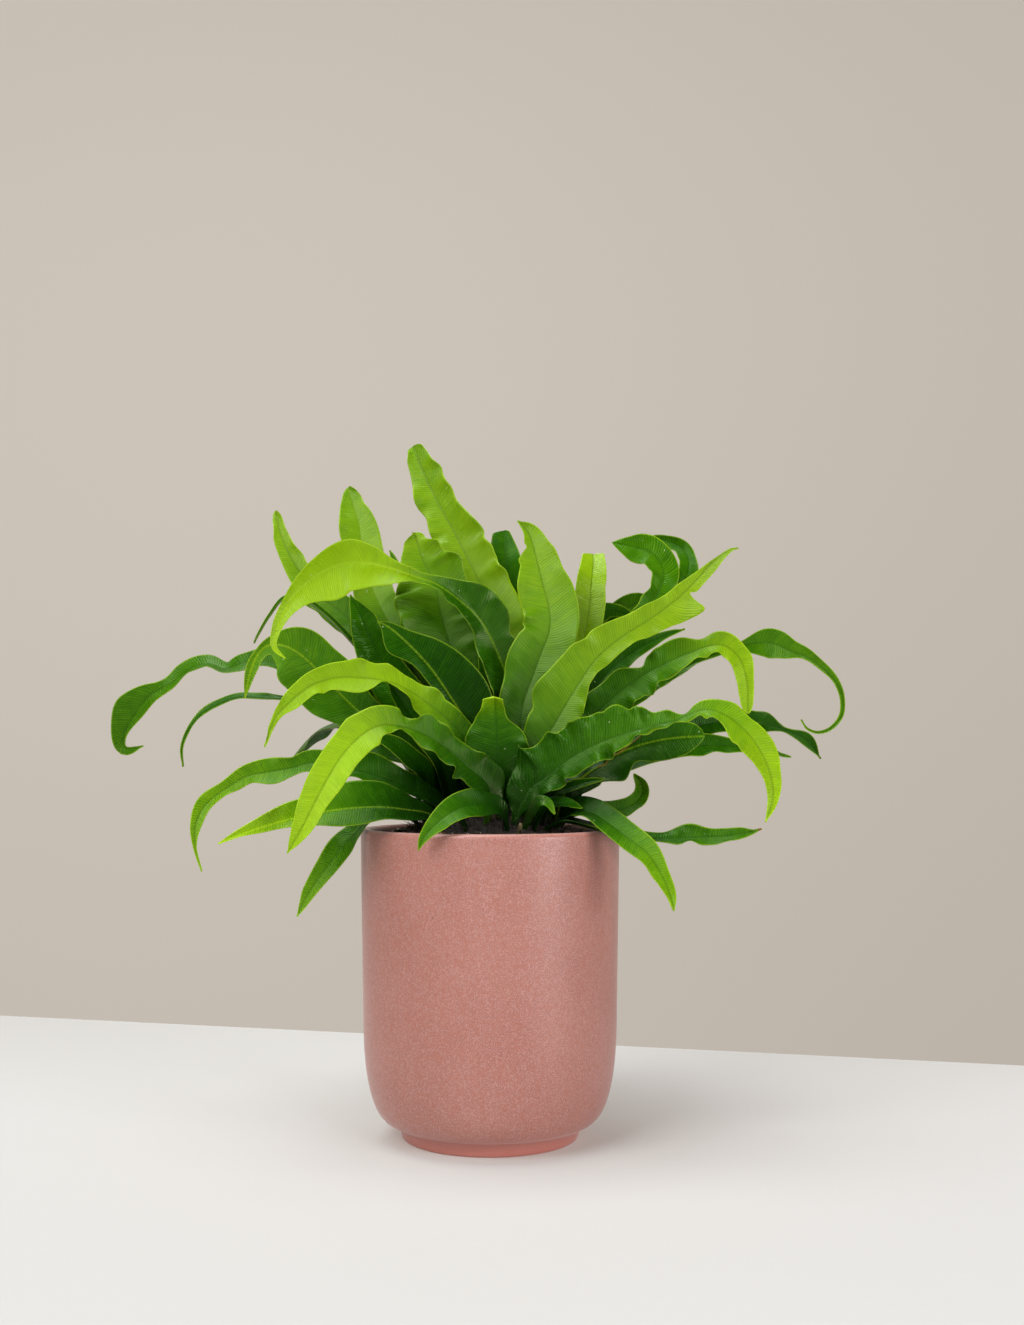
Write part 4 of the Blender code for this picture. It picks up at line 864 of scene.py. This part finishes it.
        tint=(0.18, 0.18, 0.22, 0.28, 0.34, 0.44, 0.75), gloss=0.06),
    "front_left_small": dict(
        foot=(8, -34), tone="mid", wave=24,
        path=[(5, 166), (-4, 168), (-13, 167), (-21, 163), (-28.5, 157), (-34, 150.5), (-36.5, 144.5)],
        depth=(-34, -48, -64, -66), turn=(-60, -30, -20, 0),
        width=(4, 9, 15, 16, 13, 8, 2), ruffle=(0, 0.5, 0.5)),
    "tiny_curl": dict(
        foot=(17, -31), tone="bright", wave=10,
        path=[(22, 166), (25, 169.5), (29, 169), (33, 163)],
        depth=(-33, -37, -40), turn=(20, 20, 20),
        width=(3, 5, 6, 5, 2), ruffle=(0, 0.3),
        tint=(0.1, 0.15, 0.4, 0.7)),
    "bright_mid_left": dict(
        foot=(-6, -13), tone="yellow", wave=18,
        path=[(-8, 190), (-14, 203), (-25, 214), (-39, 224.5), (-50, 230), (-63, 232), (-76, 232.5),
              (-87, 230), (-95, 225.5), (-102, 219.5), (-107.5, 214), (-111.5, 206), (-114.5, 197)],
        depth=(-13, -17, -26, -34, -38), turn=(-60, -30, -15, -20, -60, -20, -10, -10, 0),
        left=(2, 4, 6, 7, 9, 9, 6, 2, 8.6, 7, 5.4, 4.8, 1.8, 0.5),
        right=(2, 4, 6, 6, 4, 7, 4, 5.5, 8.3, 7, 6.5, 4, 1.5, 0.5),
        ruffle=(0, 2, 2, 1.5, 1.2, 1),
        tint=(0.22, 0.36, 0.68, 0.84, 0.85, 0.85), fold=0.38),
    "left_mid_wide": dict(
        foot=(-25, -3), tone="mid", wave=34,
        path=[(-34, 190), (-50, 202), (-65, 213.5), (-77, 225), (-88, 236.5), (-97, 244.5),
              (-105, 248.5), (-113, 248.5), (-118.5, 243), (-122, 234), (-124.5, 222)],
        depth=(-3, -4, -5, -6, -8), turn=(-50, -25, -10, -10, 0),
        left=(2, 3, 5, 7, 9, 12, 18, 18, 16.5, 5, 3.2, 0.5),
        right=(2, 3, 5, 6, 8, 10, 14, 13.5, 12.5, 3, 3, 0.5),
        ruffle=(0, 1, 1.5, 1, 0.5, 0),
        tint=(0.08, 0.25, 0.4, 0.52, 0.6), rib=1, dust=0.15),
    "left_long": dict(
        foot=(-31, 6), tone="mid", wave=30,
        path=[(-38, 195), (-58, 214), (-80, 229), (-98, 236), (-112, 240), (-125, 240), (-134, 237),
              (-143, 239.5), (-152, 237), (-162, 229.5), (-173, 223), (-181, 213), (-186, 203),
              (-185, 196.5), (-176, 197.5)],
        depth=(6, 10, 16, 24, 32), turn=(-60, -50, -40, -20, -50, -60, 0, 0),
        left=(2, 2.5, 3, 3.5, 4, 4, 4, 4, 3, 4.5, 4.6, 2.5, 4, 4, 1.5, 0.5),
        right=(2, 2.5, 3, 3.5, 4, 4, 4, 4, 5, 3.5, 3.6, 3.7, 3.9, 11.3, 6.2, 0.5),
        ruffle=(0, 0.5, 1, 1, 0.5, 0),
        tint=(0.15, 0.28, 0.38, 0.45, 0.48)),
    "left_thin_arc": dict(
        foot=(-33, -2), tone="dark", wave=30,
        path=[(-42, 187), (-60, 203), (-80, 216), (-100, 221), (-118, 222.5), (-128, 222.5), (-138, 219),
              (-146, 214.5), (-152.5, 207), (-156.5, 197), (-156, 187)],
        depth=(-2, 3, 4, 4, 4), turn=(-80, -70, -60, -40),
        width=(4, 6, 7, 7, 6, 5, 6, 5, 3, 1), ruffle=(0, 0.5, 0.5, 0)),
    "left_low_wavy": dict(
        foot=(-20, -17), tone="mid", wave=34,
        path=[(-28, 170), (-38, 175.5), (-50, 180), (-68, 185.5), (-89, 189), (-101, 186.5),
              (-112, 184.5), (-124, 182), (-135.5, 175), (-145, 167), (-149.5, 157), (-149.5, 146),
              (-146.5, 134)],
        depth=(-18, -23, -25, -29, -38), turn=(-60, -30, -25, -20, 0),
        left=(2, 3, 3, 2.5, 3.5, 6.5, 6, 4.3, 7.4, 4.9, 3.5, 3.5, 3.2, 0.6, 0.5),
        right=(2, 3.5, 5, 7, 9, 8, 6.5, 4.4, 6.5, 5.2, 4.2, 5, 2.7, 1.3, 0.5),
        ruffle=(0, 1, 2.5, 2.5, 1.5, 0.5, 0),
        tint=(0.08, 0.25, 0.45, 0.6, 0.62)),
    "yellow_front": dict(
        foot=(-2, -26), tone="yellow", wave=15,
        path=[(0, 176), (-10, 186), (-20, 195), (-32, 203), (-45, 207.5), (-56, 208), (-66, 202.5),
              (-75, 193), (-82, 182), (-89, 169), (-95, 157), (-103, 143)],
        depth=(-26, -32, -42, -54, -62, -66), turn=(-40, -30, -30, -20, -5, 5),
        left=(2, 6, 9.4, 8, 5.3, 2, 5, 10.3, 9.8, 9.2, 6.6, 5, 0.5),
        right=(2, 6, 8.7, 6, 5.5, 4.5, 8.5, 9.5, 8.7, 9, 8.2, 5.3, 0.5),
        ruffle=(0, 3, 3.5, 2, 0.5, 0.3, 0),
        lobes=[(0.37, 1, 5, 0.03)],
        tint=(0.28, 0.34, 0.48, 0.88, 0.97, 0.98), fold=0.36),
    "left_low_flat": dict(
        foot=(-22, -26), tone="mid", wave=36,
        path=[(-32, 163), (-42, 165), (-55, 166.5), (-70, 166), (-85, 164), (-99, 161), (-112, 157.5),
              (-124, 153.5), (-138, 148)],
        depth=(-26, -38, -52, -64), turn=(-70, -40, -25, -15),
        left=(2, 5, 7, 8, 9.9, 10.2, 7, 4.7, 3, 1.2, 0.5),
        right=(2, 4, 6.5, 11, 12, 10.5, 8.8, 7.5, 5.2, 3.1, 0.5),
        ruffle=(0, 0.5, 0.8, 0.5),
        tint=(0.1, 0.28, 0.46, 0.66, 0.74), rib=1),
    "left_hanging": dict(
        foot=(-35, -9), tone="mid", wave=26,
        path=[(-44, 164), (-54, 164), (-62, 160), (-70, 152), (-79, 141), (-87, 130.5), (-94, 119.5),
              (-98, 111)],
        depth=(-9, -18, -24, -30), turn=(-80, -65, -20, 0),
        width=(4, 9, 12, 14, 14, 11, 7, 1), ruffle=(0, 0.5, 0.5),
        tint=(0.1, 0.28, 0.45, 0.58)),
    "wide_dark": dict(
        foot=(-9, -4), tone="dark", wave=36,
        path=[(-10, 195), (-14, 212), (-21, 224), (-30, 237), (-40, 248), (-50, 257), (-57, 261)],
        depth=(-4, -4, -3), turn=(-40, -10, 0, 0),
        left=(2, 4, 7, 7, 6, 5.5, 6, 10, 0.5),
        right=(2, 5, 10, 15, 19, 17.5, 12.6, 5.2, 0.5),
        ruffle=(0, 0.5, 0.8, 0.5),
        tint=(0.04, 0.1, 0.18, 0.28), rib=1),
    "glossy_dark": dict(
        foot=(-17, 4), tone="dark", wave=24,
        path=[(-23, 195), (-33, 212), (-44, 226), (-53, 238), (-60, 250), (-65, 262), (-71, 274.5)],
        depth=(4, 7, 10), turn=(-50, -20, 0, 0),
        left=(3, 6, 10, 13, 14, 13, 10, 7, 0.6), right=(3, 7, 10, 10, 9, 9, 9, 7, 0.6), ruffle=(0, 0.5, 1.5, 1.5),
        tint=(0.08, 0.18, 0.28, 0.34), gloss=0.2),
    "needle": dict(
        foot=(-24, 13), tone="dark", wave=30,
        path=[(-38, 205), (-55, 232), (-75, 256), (-92, 271), (-104, 273), (-112, 264), (-118, 254),
              (-120, 250)],
        depth=(13, 16, 20, 28), turn=(-80, -75, -70),
        width=(3.6, 5, 6, 6, 7, 6, 4, 1), ruffle=(0, 0.3)),
    "small_tip": dict(
        foot=(-4, 18), tone="mid", wave=24,
        path=[(-8, 205), (-18, 235), (-32, 262), (-44, 282), (-51, 297)],
        depth=(18, 24, 32), turn=(-50, -20, 0),
        width=(4, 8, 11, 12, 9, 2), ruffle=(0, 0.5, 0.5)),
    # these dark fill fronds close gaps in the heart; their near-black green is painted shade
    "left_fill_low": dict(
        foot=(-28, -11), tone="dark", wave=24,
        path=[(-33, 183), (-41, 192), (-50, 199), (-60, 203)],
        depth=(-12, -12, -13), turn=(-40, -30, -20),
        width=(4, 7, 11, 10, 2), ruffle=(0, 0.5, 0.5)),
    "left_fill_high": dict(
        foot=(-17, -8), tone="dark", wave=24,
        path=[(-25, 190), (-35, 205), (-44, 219), (-52, 231)],
        depth=(-11, -13, -14), turn=(-30, -20, -10),
        width=(4, 8, 12, 11, 2), ruffle=(0, 0.5, 0.5)),
    "centre_fill_low": dict(
        foot=(13, 9.5), tone="dark", wave=24,
        path=[(6, 200), (2, 222), (-2, 236), (-5, 248)],
        depth=(8, 6, 3), turn=(-30, 0, 0),
        width=(4, 9, 13, 12, 2), ruffle=(0, 0.5, 0.5)),
    "low_front_left": dict(
        foot=(-12, -33), tone="dark", wave=16,
        path=[(-17, 163), (-23, 164), (-31, 162)],
        depth=(-33, -36, -38), turn=(-60, -60, -60),
        width=(3, 7, 8, 2), ruffle=(0, 0.3)),
}
backFan = dict(
    count=8, seed=11, feet=(66, 141), fan=(46, 142), footRadius=35, tones=("mid", "dark"), wave=(22, 34),
    tall=dict(reach=(78, 95), rise=(92, 108), width=(16, 19)),
    low=dict(reach=(112, 135), rise=(52, 64), width=(17, 21)),
    shape=(0.2, 0.45, 0.85, 1.0, 0.95, 0.7, 0.1), ruffle=(0, 1, 2, 1.5, 0.5),
    arch=((0.06, 0.4), (0.2, 0.75), (0.45, 1.0), (0.72, 0.93), (0.9, 0.68), (1.0, 0.42)))


def backFronds():
    # fronds that arch away from the camera, tall and low ones in turn
    draw = random.Random(backFan["seed"])
    made = {}
    for index in range(backFan["count"]):
        share = index / (backFan["count"] - 1)
        stand = math.radians(backFan["feet"][0] + share * (backFan["feet"][1] - backFan["feet"][0]))
        heading = backFan["fan"][0] + share * (backFan["fan"][1] - backFan["fan"][0]) + draw.uniform(-2, 2)
        out = np.array([math.cos(math.radians(heading)), math.sin(math.radians(heading)), 0])
        size = backFan["low"] if index % 2 else backFan["tall"]
        reach, rise, width = (draw.uniform(*size[key]) for key in ("reach", "rise", "width"))
        foot = backFan["footRadius"] * np.array([math.cos(stand), math.sin(stand), 0])
        base = crownHeight(foot[0], foot[1])
        made[f"back_frond_{index + 1}"] = dict(
            foot=(foot[0], foot[1]),
            points=[foot + out * reach * u + np.array([0, 0, base + rise * v]) for u, v in backFan["arch"]],
            side=(-out[1], out[0], 0), width=width * np.array(backFan["shape"]),
            turn=(0, draw.uniform(-20, 20), draw.uniform(-30, 30)), ruffle=backFan["ruffle"],
            wave=draw.uniform(*backFan["wave"]), tone=backFan["tones"][index % 2])
    return made


def unit(vectors):
    return vectors / np.linalg.norm(vectors, axis=-1, keepdims=True)


def sightPoint(across, height, depth):
    near = 1 + depth / view["distance"]
    return np.array([across * near, depth, view["height"] + (height - view["height"]) * near])


def smoothValues(values, places):
    # a Catmull-Rom curve through evenly spaced values, read at places from 0 to 1
    knots = np.asarray(values, float)
    last = len(knots) - 1
    padded = np.concatenate([2 * knots[:1] - knots[1:2], knots, 2 * knots[-1:] - knots[-2:-1]])
    spot = np.clip(np.asarray(places, float) * last, 0, last)
    index = np.minimum(spot.astype(int), last - 1)
    t = (spot - index).reshape((-1,) + (1,) * (knots.ndim - 1))
    a, b, c, d = (padded[index + k] for k in range(4))
    return 0.5 * (2 * b + (c - a) * t + (2 * a - 5 * b + 4 * c - d) * t**2 + (3 * b - a - 3 * c + d) * t**3)


def midribOf(frond):
    # dense points of the midrib, and each one's distance along it
    x, y = frond["foot"]
    start = np.array([x, y, crownHeight(x, y) + blade["stalkRise"]])
    if "points" in frond:
        stations = np.array([start, *frond["points"]])
    else:
        flat = np.array(frond["path"], float)
        seen = smoothValues(frond["depth"], (np.arange(len(flat)) + 1) / len(flat))
        stations = np.array([start] + [sightPoint(*spot, depth) for spot, depth in zip(flat, seen)])
    dense = smoothValues(stations, np.linspace(0, 1, blade["curveSamples"] * (len(stations) - 1) + 1))
    return dense, np.concatenate([[0], np.cumsum(np.linalg.norm(np.diff(dense, axis=0), axis=1))])


def bladeFrames(frond, points, heading, places):
    # unit vectors across the blade and out of its face
    turn = np.radians(smoothValues(frond["turn"], places))[:, None]
    if "side" in frond:
        across = np.tile(np.asarray(frond["side"], float), (len(points), 1))
        across = unit(across - (across * heading).sum(1, keepdims=True) * heading)
        facing = np.cross(across, heading)
    else:
        toEye = unit(np.array([0, -view["distance"], view["height"]]) - points)
        facing = unit(toEye - (toEye * heading).sum(1, keepdims=True) * heading)
        across = np.cross(heading, facing)
    return np.cos(turn) * across + np.sin(turn) * facing, np.cos(turn) * facing - np.sin(turn) * across


def marginWave(frond, run, side):
    phase = math.tau * run / frond["wave"] + blade["sidePhase"] * side + blade["footPhase"] * frond["foot"][0]
    # neither the spacing nor the height of the waves is even
    phase = phase + blade["waveDrift"] * np.sin(0.37 * phase + side)
    height = 1 - 0.5 * blade["waveUneven"] * (1 + np.sin(0.53 * phase + 2 * side))
    second = blade["secondShare"]
    return height * (np.sin(phase) + second * np.sin(blade["secondWave"] * phase)) / (1 + 0.5 * second)


def halfWidths(frond, run, side):
    places = run / run[-1]
    measured = frond.get("left" if side < 0 else "right")
    if measured:
        # read as it looks from the camera, so a turned blade is broader than it looks
        facing = np.cos(np.radians(smoothValues(frond["turn"], places)))
        half = smoothValues(measured, places) / np.maximum(facing, blade["leastFacing"])
    else:
        half = 0.5 * smoothValues(frond["width"], places)
    for place, lobeSide, growth, span in frond.get("lobes", ()):
        if lobeSide == side:
            half = half + growth * np.exp(-(((places - place) / span) ** 2))
    frill = blade["measuredFrillIn" if measured else "frillIn"] * smoothValues(frond["ruffle"], places)
    half = half + frill * marginWave(frond, run + 0.25 * frond["wave"], side)
    tip = np.clip(1 - (run[-1] - run) / frond.get("blunt", blade["tipRound"]), 0, 1)
    return np.maximum(half * np.sqrt(1 - tip**2), 0.5 * blade["thinnest"])


def lobeReach(frond, run, side):
    # how far a leaning lobe's rim is carried on toward the tip
    reach = np.zeros(len(run))
    for place, lobeSide, growth, span in frond.get("lobes", ()):
        if lobeSide == side and growth > 0:
            reach = reach + growth * frond.get("lobeLean", 0) * np.exp(-(((run / run[-1] - place) / span) ** 2))
    return reach


def bladeRuns(length, tip):
    # distances of the rows along the midrib, closer together where the tip rounds off
    body = np.linspace(0, length - tip, max(12, round(length / blade["rowMm"])))
    bend = np.sin(np.linspace(0, math.pi / 2, 10)[1:])
    return np.append(body, length - tip * (1 - bend))


def makeFrond(name, frond, finish):
    dense, denseRun = midribOf(frond)

    def midrib(at):
        return np.stack([np.interp(at, denseRun, dense[:, k]) for k in range(3)], axis=1)

    run = bladeRuns(denseRun[-1], frond.get("blunt", blade["tipRound"]))
    places = run / run[-1]
    points = midrib(run)
    heading = unit(midrib(run + 1) - midrib(run - 1))
    across, face = bladeFrames(frond, points, heading, places)
    # the stalk starts level in the crown and eases into the blade
    level = unit(np.array([across[0, 0], across[0, 1], 0]))
    ease = np.clip(run / blade["levelOver"], 0, 1)[:, None] ** 1.5
    across = unit((1 - ease) * level + ease * across)
    face = unit(face - (face * across).sum(1, keepdims=True) * across)
    near = 1 + points[:, 1] / view["distance"]
    frill = smoothValues(frond["ruffle"], places)
    stalk = np.exp(-((run / blade["stalkFade"]) ** 2))
    draw = random.Random(name)
    shift, nature = draw.uniform(0, 50), draw.uniform(-1, 1)
    columns, drops, values = [], [], {label: [] for label in ("alongMm", "acrossMm", "edgeMm")}
    steps = [(-1, c) for c in blade["columns"][::-1]] + [(1, 0.0)] + [(1, c) for c in blade["columns"]]
    for side, share in steps:
        half = near * halfWidths(frond, run, side)
        # close to the heart the blades are broad enough to close it
        filled = np.minimum(blade["fill"] * half.max(), 1.8 + blade["fillRise"] * run)
        half = np.maximum(half, filled * np.clip((0.5 - places) / 0.15, 0, 1))
        half = (1 - ease[:, 0]) * 0.5 * blade["stalkWide"] + ease[:, 0] * half
        out = share * half
        lift = frond.get("fold", blade["fold"]) * half * share ** blade["foldLift"]
        lift = lift + ease[:, 0] * frill * marginWave(frond, run, side) * share ** blade["frillLift"]
        lane = run - leaf["veinSlant"] * out + shift
        gap = blade["puckerGap"]
        quilt = np.array([noise.noise((spot / gap, 2 * side * share, shift))
                          + 2.5 * noise.noise((spot / (4.5 * gap), side * (1 + 2 * share), shift + 9)) for spot in lane])
        lift = lift + (1 - stalk) * blade["pucker"] * quilt * min(1, 4 * share) * np.clip(half / 8, 0.1, 1)
        groove = np.exp(-((out / 0.7) ** 2)) * (1 - 0.6 * places)
        lift = lift - blade["crease"] * groove * (1 - 2 * frond.get("rib", 0)) * (1 - stalk)
        carried = lobeReach(frond, run, side) * share**2
        columns.append(points + side * out[:, None] * across + lift[:, None] * face + carried[:, None] * heading)
        sheet = blade["lamina"] + (blade["marginThick"] - blade["lamina"]) * share**3
        rounded = blade["stalkThick"] * math.sqrt(max(0.0, 1 - (0.93 * share) ** 2))
        ridge = blade["ridge"] * np.exp(-((out / 0.9) ** 2)) * (1 - 0.85 * places)
        drops.append((1 - stalk) * sheet + stalk * rounded + (1 - stalk) * ridge)
        values["alongMm"].append(run + shift)
        values["acrossMm"].append(side * out)
        values["edgeMm"].append((half - out) + 5 * stalk)
    top = np.stack(columns, axis=1)
    drop = np.stack(drops, axis=1)[:, :, None]
    normal = face[:, None]
    middle = 0.5 * stalk[:, None, None] * drop
    bottom = top - (drop - middle) * normal
    top = top + middle * normal
    # a short length of stalk goes down into the crown
    sink = np.array([0, 0, -blade["sunk"]])
    top, bottom = (np.concatenate([[grid[0] + sink], grid]) for grid in (top, bottom))
    rows, wide = top.shape[:2]
    spot = np.arange(rows * wide).reshape(rows, wide)
    a, b, c, d = spot[:-1, :-1], spot[:-1, 1:], spot[1:, 1:], spot[1:, :-1]
    upper = np.stack([a, b, c, d], axis=-1).reshape(-1, 4)
    lower = upper[:, ::-1] + rows * wide
    rim = np.concatenate([spot[0], spot[1:, -1], spot[-1, -2::-1], spot[-2:0:-1, 0]])
    nextRim = np.roll(rim, -1)
    wall = np.stack([rim, rim + rows * wide, nextRim + rows * wide, nextRim], axis=1)
    layers = {label: np.stack(cells, axis=1) for label, cells in values.items()}
    tint = smoothValues(frond.get("tint", leafTones[frond["tone"]]["tint"]), places) + 0.035 * nature
    # painted shade: the blades are darker close to the crown, where the rosette shades them
    tint = tint - blade["heartShade"] * np.exp(-((run / blade["heartReach"]) ** 2))
    scorch = np.zeros(len(run))
    for start, end in frond.get("scorch", ()):
        scorch = np.maximum(scorch, (places >= start) * (places <= end))
    layers["tint"] = np.repeat(tint[:, None], wide, axis=1)
    edgeShare = np.abs([side * share for side, share in steps])
    layers["scorch"] = scorch[:, None] * edgeShare[None] ** (6 if frond.get("scorchEdge") else 0)
    layers = {label: np.concatenate([grid[:1], grid]) for label, grid in layers.items()}
    layers = {label: np.concatenate([grid, grid]) for label, grid in layers.items()}
    layers["under"] = np.repeat([0.0, 1.0], rows * wide)
    for label in ("rib", "dust", "gloss"):
        layers[label] = np.full(2 * rows * wide, frond.get(label, 0.0))
    vertices = np.concatenate([top.reshape(-1, 3), bottom.reshape(-1, 3)])
    faces = np.concatenate([upper, lower, wall]).tolist()
    addPiece(name + "_leaf", vertices, faces, finish, frond["tone"], [name], layers)


def makeFern():
    finishes = {tone: leafFinish(tone + "Frond", look) for tone, look in leafTones.items()}
    for name, frond in {**fronds, **backFronds()}.items():
        makeFrond(name, frond, finishes[frond["tone"]])


makeFern()
print("fronds made")
